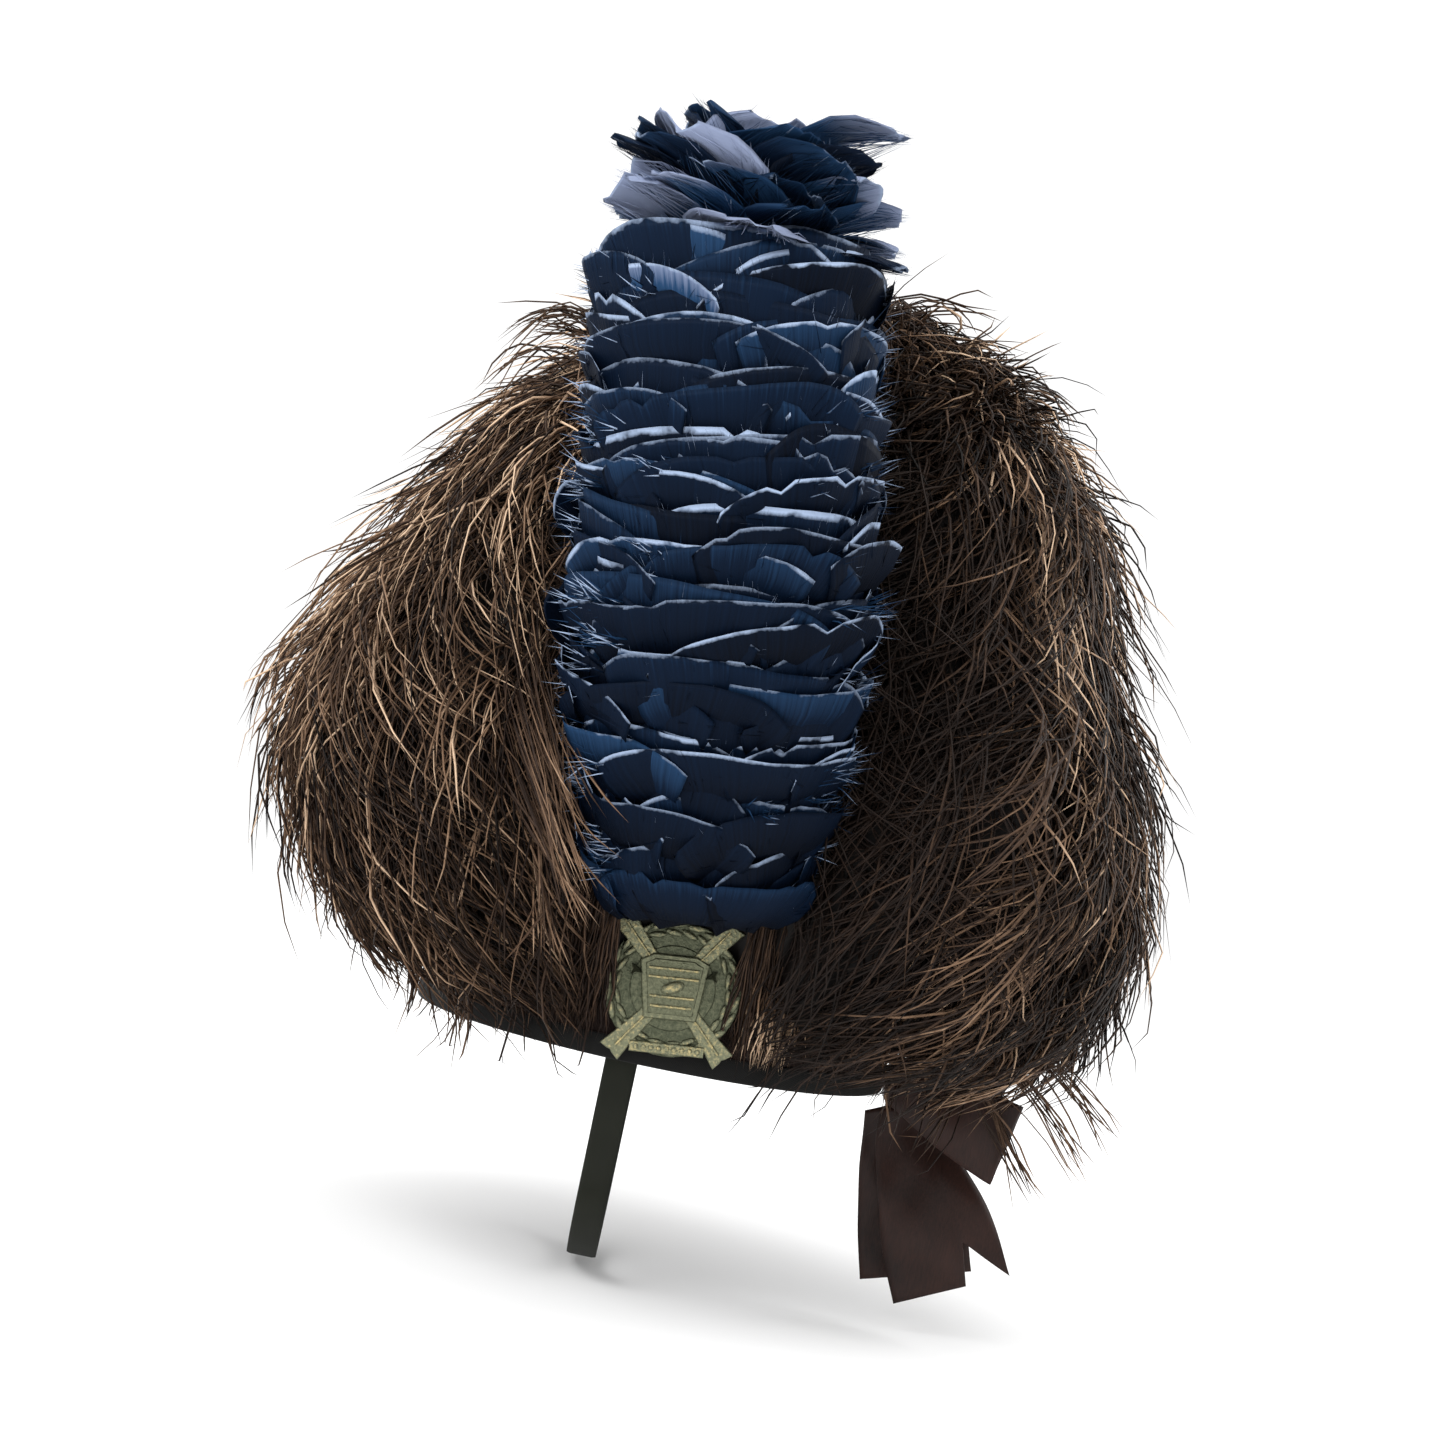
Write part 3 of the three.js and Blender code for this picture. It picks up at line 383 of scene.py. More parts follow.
def hackle_material():
    made = material("Dyed hackle feather, painted rim light and root shade", (0.012, 0.033, 0.09), 0.6, Specular_IOR_Level=0.05)
    across = node(made, "ShaderNodeCombineXYZ", X=attribute(made, "strand"))
    streak = noise(made, 0.9, 3, 0.65, vector=across.outputs["Vector"])
    fine = noise(made, 900, 2)
    rim = attribute(made, "rim")
    shade = attribute(made, "shade")
    ragged = plus(made, rim, times(made, math_node(made, "SUBTRACT", fine, 0.5), 0.25))
    # The shade attribute holds each feather's own tone and painted shade: vanes darker at the root, lighter
    # at the tip.
    stops = [
        (0, (0.0004, 0.0009, 0.0022)), (0.3, (0.0009, 0.0022, 0.006)), (0.55, (0.0021, 0.0075, 0.021)),
        (0.8, (0.014, 0.044, 0.105)), (1, (0.22, 0.26, 0.38)),
    ]
    dark = ramp(made, plus(made, times(made, shade, 0.75), times(made, streak, 0.34)), stops)
    # Painted highlight: the pale rims where light from above catches the tiers, broken in patches.
    patches = times(made, noise(made, 70, 3), 2.6)
    broken = times(made, ragged, math_node(made, "SUBTRACT", patches, 0.42, True))
    pale = ramp(made, broken, [(0.55, (0, 0, 0)), (1, (1, 1, 1))])
    mix = node(made, "ShaderNodeMix", data_type="RGBA", Factor=pale, A=dark, B=(0.3, 0.38, 0.53, 1))
    shade_by(made, "Base Color", mix.outputs["Result"])
    bump(made, streak, 0.0006, 0.8)
    return made


def cloth_material(name, color, light, scale, distance, roughness):
    made = material(name, color, roughness, Specular_IOR_Level=0.12, Sheen_Weight=0.05, Sheen_Roughness=0.5)
    threads = []
    for way, size, distortion in (("Z", scale, 1.2), ("DIAGONAL", scale * 0.8, 1)):
        sockets = {"Scale": size, "Distortion": distortion, "Detail": 2, "Vector": place(made)}
        wave = node(made, "ShaderNodeTexWave", wave_type="BANDS", bands_direction=way, **sockets)
        threads.append(wave.outputs["Fac"])
    weave = times(made, *threads)
    mixed = plus(made, times(made, weave, 0.5), times(made, noise(made, 45), 0.5))
    shade_by(made, "Base Color", ramp(made, mixed, [(0.1, color), (0.9, light)]))
    bump(made, weave, distance, 0.7)
    return made


def satin_material():
    made = material("Brown satin ribbon", (0.02, 0.01, 0.008), 0.42, Specular_IOR_Level=0.2)
    threads = noise(made, 1, 2, vector=place(made, (1500, 1500, 160)))
    soft = noise(made, 38, 3)
    mixed = plus(made, times(made, threads, 0.4), times(made, soft, 0.6))
    stops = [(0.25, (0.005, 0.0024, 0.002)), (0.75, (0.034, 0.013, 0.009))]
    shade_by(made, "Base Color", ramp(made, mixed, stops))
    bump(made, threads, 0.00025, 0.6)
    return made


def brass_material():
    made = material("Tarnished cast brass, painted glints and slot shade", (0.3, 0.3, 0.18), 0.4, Metallic=1.0)
    patches = noise(made, 90, 5, 0.6)
    grains = noise(made, 620, 4, 0.7)
    # Raised relief is lighter and golden, partly rubbed brass and partly painted glints; low relief is
    # darker with tarnish.
    wear_and_glint = plus(made, times(made, attribute(made, "relief"), 0.55), times(made, grains, 0.65))
    stops = [
        (0.2, (0.014, 0.015, 0.009)), (0.5, (0.075, 0.083, 0.054)), (0.8, (0.19, 0.195, 0.125)),
        (1, (0.62, 0.5, 0.24)),
    ]
    shade_by(made, "Base Color", ramp(made, wear_and_glint, stops))
    rough = node(made, "ShaderNodeMapRange", Value=patches, To_Min=0.52, To_Max=0.3)
    shade_by(made, "Roughness", rough.outputs["Result"])
    bump(made, grains, 0.0009, 0.8)
    return made


OSTRICH = ostrich_material()
HACKLE = hackle_material()
CAP_CLOTH, BAND_CLOTH, TAPE, ELASTIC = (
    cloth_material(*row)
    for row in (
        # name, dark colour, light colour, threads a metre, depth, roughness
        ("Black cap cloth", (0.006, 0.005, 0.005), (0.014, 0.012, 0.011), 420, 0.0003, 0.85),
        ("Brown band cloth", (0.009, 0.005, 0.0045), (0.028, 0.016, 0.012), 520, 0.0003, 0.8),
        ("Black binding tape", (0.004, 0.004, 0.004), (0.012, 0.012, 0.011), 900, 0.0002, 0.7),
        ("Woven strap elastic", (0.007, 0.008, 0.005), (0.024, 0.026, 0.018), 1100, 0.0003, 0.75),
    )
)
SATIN = satin_material()
BRASS = brass_material()


# Ostrich plumes


def bay_share(angle):
    apart = np.abs((angle - BAY_MIDDLE + math.pi) % TURN - math.pi)
    return np.where(apart < BAY_FADE, np.cos(np.minimum(apart / BAY_FADE, 1) * math.pi / 2) ** 2, 0)


def fur_point(angle, way, share):
    """A point on the plumes' outer form, by the angle round it and the way down from the crown."""
    angle, way, share = np.broadcast_arrays(angle, way, share)
    at = np.clip(way, 0, 1) * (len(FUR_FORM) - 1)
    rows = np.arange(len(FUR_FORM))
    height, front, back, side = (np.interp(at, rows, FUR_FORM[:, k]) for k in range(4))
    lengthwise = np.where(np.sin(angle) > 0, FUR_BACK * back, FUR_FRONT * front)
    oval = 1 / np.hypot(np.cos(angle) / (FUR_SIDE * side), np.sin(angle) / lengthwise)
    reach = oval * share * (1 - BAY_DEPTH_SHARE * bay_share(angle))
    z = FUR_MIDDLE_SHARE + (height - FUR_MIDDLE_SHARE) * share - np.maximum(way - 1, 0)
    y = reach * np.sin(angle) + FUR_TOP_LEAN * height**2
    return np.stack([reach * np.cos(angle), y, FUR_HEIGHT * z], axis=-1)


def oval(angle, out, spread=1.0):
    wide = HEAD_WIDTH / 2 * spread + out
    long = HEAD_LENGTH / 2 * spread + out
    return np.stack([wide * np.cos(angle), long * np.sin(angle)], axis=-1)


def cap_spread(z):
    heights = np.append(CAP_FORM[:, 0], 1) * CAP_HEIGHT
    return np.interp(z, heights, np.append(CAP_FORM[:, 1], 0))


def hackle_frame(along):
    """Middle, and the directions along, away from the cap and across, at shares of the hackle's length."""
    along = np.asarray(along, float)
    middle, before, after = (
        catmull(HACKLE_AXIS, np.clip(along + step, 0, 1).ravel()).reshape(*along.shape, 3)
        for step in (0, -0.02, 0.02)
    )
    up = unit(after - before)
    away = unit(np.array([1, 0, 0]) - up * up[..., :1])
    across = np.cross(up, away)
    return middle, up, away, across


def hackle_reach(along):
    return np.interp(along, HACKLE_FORM[:, 0], HACKLE_FORM[:, 1])


def round_hackle(share, angle, across, away):
    """The way from the hackle's middle to a share of its outer form."""
    wide = (share * HACKLE_HALF_WIDTH * np.cos(angle))[..., None]
    deep = (share * HACKLE_HALF_DEPTH * np.sin(angle))[..., None]
    return wide * across + deep * away


def tier_frame(along):
    """The same for one tier, with its middle moved to where the feathers sit."""
    middle, up, away, across = hackle_frame(np.array(along))
    return middle + (7 * along**2 + 3.5 * (1 - along) ** 2) * across, up, away, across


def inside_hackle(points, share):
    """Which points lie inside a share of the hackle's column."""
    middle, _, away, across = hackle_frame(np.linspace(0, 1, 41))
    flat = points.reshape(-1, 3)
    low, high = HACKLE_AXIS[[0, -1], 2]
    at = np.clip(((flat[:, 2] - low) / (high - low) * 40).astype(int), 0, 40)
    off = flat - middle[at]
    wide = np.sum(off * across[at], axis=1) / HACKLE_HALF_WIDTH
    deep = np.sum(off * away[at], axis=1) / HACKLE_HALF_DEPTH
    level = (flat[:, 2] > 62) & (flat[:, 2] < 400)
    return ((wide**2 + deep**2 < share**2) & level).reshape(points.shape[:-1])


GOLDEN_SHARE = 0.618034
BAY_CLUMPS = 125
PLUME_CLUMPS = 205
CLUMP_BARBS = 11
FLYAWAY_SHARE = 0.06
FRINGE_BARBS = 900
CROWN_BARBS = 1300
LIMIT_LOW = np.array(cad_low) / MM - FUR_REACH_OUT
LIMIT_HIGH = np.array(cad_high) / MM + FUR_REACH_OUT
RINGS = 7
WAY_ALONG = np.linspace(0, 1, RINGS)[None, :]
SWELLING = 0.8 + 0.4 * np.sin(np.pi * WAY_ALONG)


def plume_barbs(rng, first, last, clumps, tan):
    """Barbs of one plume in drooping clumps, as paths, radii and tints."""
    t = WAY_ALONG
    t3 = t[..., None]
    single = (clumps * CLUMP_BARBS, 1)
    alone = (*single, 1)

    def for_each(values):
        return np.repeat(values, CLUMP_BARBS)[:, None]

    place_in = (np.arange(clumps) * GOLDEN_SHARE) % 1
    angle_c = first + (last - first) * (place_in + rng.normal(0, 0.03, clumps))
    way_c = 0.9 * (rng.permutation(clumps) + rng.random(clumps)) / clumps
    length_c = rng.uniform(0.08, 0.2, clumps) * (0.8 + 0.35 * np.sin(np.pi * np.clip(way_c, 0, 1)))
    aside = (BAY_MIDDLE - angle_c + math.pi) % TURN - math.pi
    drift_c = rng.normal(0, 0.2, clumps) + 0.42 * aside * np.exp(-((aside / 1.15) ** 2))
    wisp_c = rng.random(clumps) < 0.1
    lift_c = rng.normal(0.0, 0.02, clumps) + wisp_c * rng.uniform(0.03, 0.095, clumps)
    # Clumps of tan strands: partly lighter feathers, partly painted highlight; the caller raises their share
    # on the lit front.
    tan_and_lit_c = for_each(rng.random(clumps) < tan)
    tone_c = rng.uniform(-0.12, 0.16, clumps)

    local = for_each(1 / np.maximum(flat_reach(fur_point(angle_c, way_c, 0.9)), 25))
    angle = for_each(angle_c) + rng.normal(0, 8, single) * local * (1 - 0.62 * t)
    stray = rng.normal(0, 5.5, single) * local
    angle = angle + for_each(drift_c) * t**1.4 + stray * t**2
    length = for_each(length_c) * rng.uniform(0.6, 1.25, single)
    way = for_each(way_c) + rng.normal(0, 0.018, single) + length * t
    root = rng.uniform(0.8, 0.92, single)
    crest = 0.965 + for_each(lift_c) + rng.normal(0, 0.016, single)
    flick = rng.normal(0.0, 0.035, single)
    share = root + (crest - root) * (1 - (1 - t) ** 2.4) + flick * t**3

    flyaway = rng.random(single) < FLYAWAY_SHARE
    way = way + 0.03 * t * flyaway
    share = share + rng.uniform(0.03, 0.1, single) * t**1.5 * flyaway
    angle = angle + rng.normal(0, 0.07, single) * t * flyaway
    way = np.clip(way, 0.002, 1.06)
    paths = fur_point(angle, way, share)

    phase = rng.uniform(0, TURN, (*single, 3))
    curl = rng.uniform(2.5, 6, alone)
    sway = rng.uniform(0.8, 3.4, alone) * (1 + 1.2 * flyaway[..., None])
    ripple = rng.uniform(0.4, 1.9, alone)
    paths = paths + sway * np.sin(curl * t3 + phase) * t3
    paths = paths + ripple * np.sin(8.5 * t3 + 2.3 * phase) * t3
    paths = over_wall(paths, rng.uniform(1, 6, single))
    paths = np.clip(paths, LIMIT_LOW, LIMIT_HIGH)

    radius = rng.uniform(0.28, 0.6, single) * (0.75 + 0.5 * np.sin(np.pi * np.minimum(t * 1.15, 1)))
    radius = radius * np.where(flyaway, 0.8, 1)
    # Each barb is darker at its root and lighter at its tip, with painted highlights on some tips.
    base = rng.uniform(-0.02, 0.26, single) + for_each(tone_c) + 0.34 * tan_and_lit_c * rng.random(single)
    bright = (rng.random(single) < 0.2 + 0.36 * tan_and_lit_c) * rng.uniform(0.15, 0.6, single)
    tint = base * (0.5 + 0.5 * t) + bright * np.clip(1.5 * t - 0.1, 0, 1)
    facing = fur_point(angle, way, share + 0.05) - fur_point(angle, way, share - 0.05)
    return paths, radius, tint, unit(facing)


def undercoat(first, last):
    """The dark body that the barbs of one plume grow from: a closed shell over the cap."""
    angles = np.linspace(first, last, 18)
    ways = np.linspace(0.02, 0.985, 30)
    a, w = np.meshgrid(angles, ways, indexing="ij")
    ruffle = 0.012 * np.sin(a * 57) * np.sin(w * 61 + a * 9)
    outer = fur_point(a, w, 0.87 + ruffle)
    inner = fur_point(a, w, 0.5)
    inner[..., 2] = np.minimum(np.maximum(inner[..., 2], outer[..., 2] - 40), outer[..., 2] - 2)
    spread = cap_spread(inner[..., 2])
    wall = oval(a, CAP_WALL + 3, spread)
    low = inner[..., 2] < BAND_HEIGHT + 3
    wall = np.where(low[..., None], oval(a, BINDING_OUTSIDE + 1.5), wall)
    closer = flat_reach(inner) < flat_reach(wall)
    inner[..., :2] = np.where(closer[..., None], wall, inner[..., :2])
    shallow = flat_reach(outer) < flat_reach(inner) + 2
    pushed = inner[..., :2] * (1 + 2 / np.maximum(flat_reach(inner), 1))[..., None]
    outer[..., :2] = np.where(shallow[..., None], pushed, outer[..., :2])
    loop = np.concatenate([outer, inner[:, ::-1]], axis=1)
    return loop, slab_faces(*loop.shape[:2])


def over_wall(paths, gap):
    """Moves points that would lie in the cap or its band out to a gap over them."""
    on_band = (paths[..., 2] < BAND_HEIGHT)[..., None]
    slant = np.arctan2(paths[..., 1] / (HEAD_LENGTH / 2), paths[..., 0] / (HEAD_WIDTH / 2))
    wall = np.where(on_band, oval(slant, BINDING_OUTSIDE), oval(slant, CAP_WALL, cap_spread(paths[..., 2])))
    scale = np.maximum((flat_reach(wall) + gap) / np.maximum(flat_reach(paths), 1), 1)
    inside = (paths[..., 2] < CAP_HEIGHT) & (scale > 1)
    moved = paths.copy()
    moved[..., :2] *= np.where(inside, scale, 1)[..., None]
    return moved


def clear_of_others(paths):
    """Which barbs keep out of the hackle's column and of the window before the badge."""
    in_hackle = inside_hackle(paths, 0.66).any(axis=1)
    x, y, z = np.moveaxis(paths, -1, 0)
    in_window = ((x > 60) & (np.abs(y - BADGE_MIDDLE_Y) < 29 + 0.05 * z) & (z < 62)).any(axis=1)
    return ~(in_hackle | in_window)


def fringe(parts, rng, first, last):
    """Barbs that hang over the band on both sides of the badge, some low ones towards the back lit orange by
    a painted highlight.
    """
    count = FRINGE_BARBS
    t = WAY_ALONG
    side = np.where(rng.random(count) < 0.5, -1, 1)
    y = BADGE_MIDDLE_Y + side * (28 + 46 * rng.random(count) ** 1.3)
    within = (np.arctan2(y, 88) - first) % TURN < last - first
    y, side = y[within], side[within]
    count = len(y)
    single = (count, 1)
    top = rng.uniform(48, 98, single)
    foot = rng.uniform(4, 26, single)
    z = top + (foot - top) * t**1.1
    out = rng.uniform(1, 8, single) * np.sin(np.pi * t**0.8) + rng.uniform(1, 5, single)
    out = out + 11 * np.clip((z - 34) / 30, 0, 1)
    drift = side[:, None] * rng.normal(1, 4, single)
    across = y[:, None] + drift * t + rng.normal(0, 1.2, (count, RINGS)) * t
    round_off = np.sqrt(np.maximum(1 - (across / (HEAD_LENGTH / 2 + 7)) ** 2, 0))
    x = (HEAD_WIDTH / 2 + BINDING_OUTSIDE) * round_off + out
    paths = np.stack([x, across, z], axis=-1)
    # Painted highlight: a pool of light that turns low barbs orange towards the back of the badge.
    lit_orange = (np.abs(y - 49) < 8) & (rng.random(count) < 0.75)
    low = np.clip((46 - z) / 24, 0, 1)
    tint = rng.uniform(0.02, 0.3, single) + 0.66 * lit_orange[:, None] * low
    parts.add_barbs(paths, rng.uniform(0.25, 0.5, single) * SWELLING, (1, 0, 0.2), tint=tint)


WISPS_OVER_HACKLE = [
    # root, middle, tip
    ((126, -80, 158), (151, -64, 122), (160, -42, 92)),
    ((128, -80, 138), (151, -62, 104), (158, -38, 72)),
    ((127, -76, 112), (146, -58, 84), (147, -36, 58)),
    ((112, -66, 90), (124, -55, 62), (121, -44, 38)),
]
WISPS_AT_BACK = [
    ((44, 140, 34), (48, 172, 14), (46, 197, -17)),
    ((40, 132, 26), (44, 156, 0), (42, 176, -32)),
    ((48, 146, 44), (52, 182, 30), (50, 204, 2)),
]
CURLS_AT_CROWN = [
    ((52, -72, 288), (54, -98, 322), (60, -124, 280)),
    ((50, -76, 284), (56, -92, 312), (58, -110, 286)),
    ((48, -70, 280), (50, -92, 314), (54, -118, 296)),
    ((52, -80, 276), (56, -112, 300), (60, -124, 262)),
    ((56, -84, 268), (62, -104, 284), (64, -114, 250)),
    ((30, 20, 322), (34, 48, 352), (36, 82, 338)),
    ((30, 30, 318), (34, 62, 340), (36, 92, 322)),
]


def stray_wisps(parts, rng, rows, each, loose, curl, bright):
    """Long barbs that stand off the rest, in bunches along rows of root, middle and tip."""
    start, middle, tip = (np.array([row[i] for row in rows], float) for i in range(3))
    which = np.repeat(np.arange(len(rows)), each)
    count = len(which)
    spread = rng.normal(0, 4.0, (count, 3))
    ends = tip[which] + rng.normal(0, loose, (count, 3)) * [0.4, 1, 1.2]
    t = WAY_ALONG[..., None]
    a = (start[which] + spread)[:, None]
    b = (middle[which] + 0.7 * spread)[:, None]
    paths = a * (1 - t) ** 2 + 2 * b * t * (1 - t) + ends[:, None] * t**2
    swing = rng.uniform(0.3, curl, (count, 1, 1))
    paths = paths + swing * np.sin(7 * t + rng.uniform(0, TURN, (count, 1, 3))) * t
    radius = rng.uniform(0.25, 0.5, (count, 1)) * SWELLING
    tint = rng.uniform(0.2, bright, (count, 1)) * (0.3 + 0.7 * WAY_ALONG)
    parts.add_barbs(paths, radius, (1, 0, 0.3), tint=tint)


def plume(name, first, last, seed):
    rng = np.random.default_rng(seed)
    first, last = math.radians(first), math.radians(last)
    middle = (first + last) / 2
    frontward = 0.5 - 0.5 * math.sin(middle)
    bay = name == "plume_bay"
    clumps = (BAY_CLUMPS if bay else PLUME_CLUMPS) // 1
    # Painted light: the share of tan, lighter clumps grows towards the front, where the light falls.
    paths, radius, tint, facing = plume_barbs(rng, first, last, clumps, 0.2 + 0.5 * frontward)
    keep = clear_of_others(paths)
    # Painted shade: barbs dimmed in the recess on both sides of the hackle.
    beside = np.arctan2(paths[..., 1], paths[..., 0]) - math.radians(10)
    height = paths[..., 2]
    before = np.interp(height, [70, 150, 220], [0.5, 0.62, 0.42])
    behind = np.interp(height, [70, 170, 260], [0.5, 0.68, 0.6])
    breadth = np.where(beside < 0, before, behind)
    tint = tint * (1 - 0.9 * np.exp(-((beside / breadth) ** 4)))
    # Painted shade and light: darker towards the band, lighter towards the crown.
    tint = tint * np.interp(height, [10, 50, 120, 210, 290], [0.6, 0.88, 1, 1.12, 1.25])
    parts = Parts("tint")
    parts.add_barbs(paths[keep], radius[keep], facing[keep], tint=tint[keep])
    if bay or name in ("plume_1", "plume_8"):
        fringe(parts, rng, first, last)
    if name == "plume_8":
        stray_wisps(parts, rng, WISPS_OVER_HACKLE, 15, 6, 1.5, 0.75)
    if name == "plume_2":
        stray_wisps(parts, rng, WISPS_AT_BACK, 11, 5, 2.5, 0.6)
    parts.add(*undercoat(first, last), tint=-1)
    stands_for(parts.piece(f"{name}_barbs", OSTRICH), name)


for index, (name, first, last) in enumerate(SECTORS):
    plume(name, first, last, 100 + index)


def crown_tuft():
    """Short curled barbs over the crown, where the plumes' shafts meet."""
    rng = np.random.default_rng(90)
    count = CROWN_BARBS
    single = (count, 1)
    t = WAY_ALONG
    turn = rng.uniform(0, TURN, single)
    out = rng.uniform(14, 60, single)
    rise = rng.uniform(6, 34, single)
    start = np.sqrt(rng.random(single)) * 24
    bend = rng.normal(0, 0.5, single)
    top = fur_point(0, 0, 0.93)
    way = turn + bend * t
    reach = start + out * t**0.9
    fall = rng.uniform(0.6, 1.5, single)
    z = top[2] - 10 + rise * np.sin(np.pi * np.minimum(0.15 + t * 0.8 * fall, 1.2)) - 0.004 * reach**2
    paths = np.stack([reach * np.cos(way), top[1] + reach * np.sin(way), z], axis=-1)
    swing = rng.uniform(0.3, 1.5, (count, 1, 1))
    paths += swing * np.sin(4 * t[..., None] + rng.uniform(0, TURN, (count, 1, 3)))
    paths = np.clip(paths, LIMIT_LOW, LIMIT_HIGH)
    keep = ~inside_hackle(paths, 0.8).any(axis=1)
    radius = rng.uniform(0.22, 0.42, single) * SWELLING
    # Each barb is darker at its root; painted highlights on the tips of a fifth of them.
    tint = rng.uniform(0.02, 0.35, single) * (0.6 + 0.4 * t)
    tint = tint + 0.25 * (rng.random(single) < 0.2) * t
    parts = Parts("tint")
    parts.add_barbs(paths[keep], radius[keep], (0, 0, 1), tint=tint[keep])
    stray_wisps(parts, rng, CURLS_AT_CROWN, 9, 5, 4.5, 0.5)
    rings = [(0.5, -26), (22, -26), (28, -16), (24, -5), (12, 0), (0.5, 1)]
    body = [circle(r, 24, (0, top[1], top[2] + h)) for r, h in rings]
    parts.add(body, tube_faces(6, 24))
    stands_for(parts.piece("crown_tuft_barbs", OSTRICH), "crown_tuft")


crown_tuft()


# Hackle


def vane(parts, rng, surface, columns, rows, shade, rim_width, ragged):
    """A broad feather: a thin closed vane over surface(u, v), u from side to side and v from root to tip."""
    u = np.linspace(-1, 1, columns)
    v = np.linspace(0, 1, rows)
    u = np.sign(u) * (1 - (1 - np.abs(u)) ** 1.35)
    v = 1 - (1 - v) ** 2
    u, v = np.meshgrid(u, v, indexing="ij")
    # Painted highlight: a pale rim along the tip, where light from above falls on the upturned edge.
    rim = np.clip((v - 0.92) / 0.08, 0, 1) ** 1.4
    front = surface(u, v)
    toward_tip = np.gradient(front, axis=1)
    normal = unit(np.cross(np.gradient(front, axis=0), toward_tip))
    edge = (np.abs(u) > 0.999) | (v > 0.999) | (v < 0.001)
    push = np.where(edge, 0, VANE_THICKNESS / 2)[..., None] * normal
    phase = rng.uniform(0, TURN, 5)
    waves = ((1.7, 3), (0.6, 6), (0.15, 9))
    jag = sum(size * np.sin(often * u + start) for (size, often), start in zip(waves, phase))
    tears = rng.choice([0, -2, -4], columns, p=[0.95, 0.03, 0.02]) + rng.uniform(-0.15, 0.15, columns)
    ripple = 0.9 * np.sin(8 * u + 2 * v + phase[3]) + 0.5 * np.sin(17 * u + phase[4])
    front = front + unit(toward_tip) * (ragged * (jag + tears[:, None]) * v**5)[..., None]
    front = front + normal * (ripple * ragged * v**2)[..., None]
    faces_top = grid_faces(columns, rows)
    inner = ~edge.ravel()
    other = np.arange(columns * rows)
    other[inner] = columns * rows + np.arange(inner.sum())
    faces_bottom = other[faces_top][:, ::-1]
    points = np.concatenate([(front + push).reshape(-1, 3), (front - push).reshape(-1, 3)[inner]])
    # Painted shade: each vane darker at its root, in the gap behind the tier below, and lighter at its tip.
    values = {
        "rim": rim * rim_width,
        "shade": shade * (0.15 + 0.85 * v) + 0.24 * v**2,
        "strand": u * 42 + rng.uniform(0, 900) + 1.2 * np.sin(4 * v + phase[0]),
    }
    both = {key: np.concatenate([value.ravel(), value.ravel()[inner]]) for key, value in values.items()}
    parts.add(points, [faces_top, faces_bottom], **both)


def rim_barbs(parts, rng, surface, count, over, shade, pale):
    """Loose barbs that lie on a vane, fan out to its rim and fray past it."""
    single = (count, 1)
    u = rng.uniform(-1, 1, count)
    u = np.sign(u) * np.abs(u) ** 0.6
    v = rng.uniform(0.3, 0.85, count)
    flank = (np.abs(u) > 0.7) & (rng.random(count) < 0.6)
    start = surface(u * 0.9, v)
    beside = surface(u * 0.9 + 0.02, v)
    above = surface(u * 0.9, v + 0.02)
    normal = unit(np.cross(beside - start, above - start))
    end = surface(np.where(flank, np.sign(u), u), np.where(flank, np.minimum(v + 0.22, 1), 1.0))
    middle = (start + end) / 2 + rng.normal(0, 0.5, (count, 3))
    tip = end + unit(end - start) * rng.uniform(0, over, single) + rng.normal(0, 0.9, (count, 3))
    side = np.where(rng.random(single) < 0.85, 0.5, -0.5)
    paths = np.stack([start, middle, tip], axis=1) + (normal * side)[:, None, :]
    radius = rng.uniform(0.12, 0.25, single) * [0.8, 1, 0.5]
    # Painted highlight: some barbs turn pale at the tip, and all grow lighter towards it.
    glow = (rng.random(single) < pale) * rng.uniform(0.6, 1.3, single) * [0, 0.1, 1.0]
    tone = shade * 0.8 + rng.uniform(0, 0.3, single) * [0.3, 0.8, 1.2]
    parts.add_barbs(paths, radius, normal[:, None], rim=glow, shade=tone)


# Feathers: columns and rows of the vane, how ragged it is, loose barbs, how far they fray, pale share
TIER_VANE = (27, 6, 0.9, 34, 6, 0.3)
TUFT_VANE = (15, 9, 1, 46, 5, 0.25)
PALE_VANE = (15, 9, 1, 60, 6, 0.4)


def feather(parts, rng, surface, shade, rim_width, form):
    columns, rows, ragged, loose, over, pale = form
    vane(parts, rng, surface, columns, rows, shade, rim_width, ragged)
    rim_barbs(parts, rng, surface, loose, over, shade, pale)


def tier_surface(rng, along, turn, half_angle, reach_scale, rise_scale, wave):
    """A broad petal of one tier that stands round the hackle's middle."""
    middle, up, away, across = tier_frame(along)
    root = -0.35 if along > 0 else -0.08
    reach_at = hackle_reach(along) * reach_scale
    phase = rng.uniform(0, TURN, 2)
    tilt = rng.normal(0, 4.5)

    def surface(u, v):
        angle = turn + half_angle * u * (0.55 + 0.45 * np.sqrt(np.clip(v, 0, 1)))
        out = np.interp(v, [0, 0.35, 0.75, 1], [0.5, 0.72, 0.93, 1.0]) * reach_at
        rise = PETAL_RISE * rise_scale * np.interp(v, [0, 0.35, 0.75, 1], [root, 0.02, 0.5, 1.0])
        corner = 3 * u**2 + 12 * np.abs(u) ** 5
        rise = rise - corner * v + wave * np.sin(2.3 * u + phase[0]) * v + tilt * u * v
        out = out + 0.03 * np.sin(3 * u + phase[1]) * v
        return middle + round_hackle(out, angle, across, away) + rise[..., None] * up

    return surface


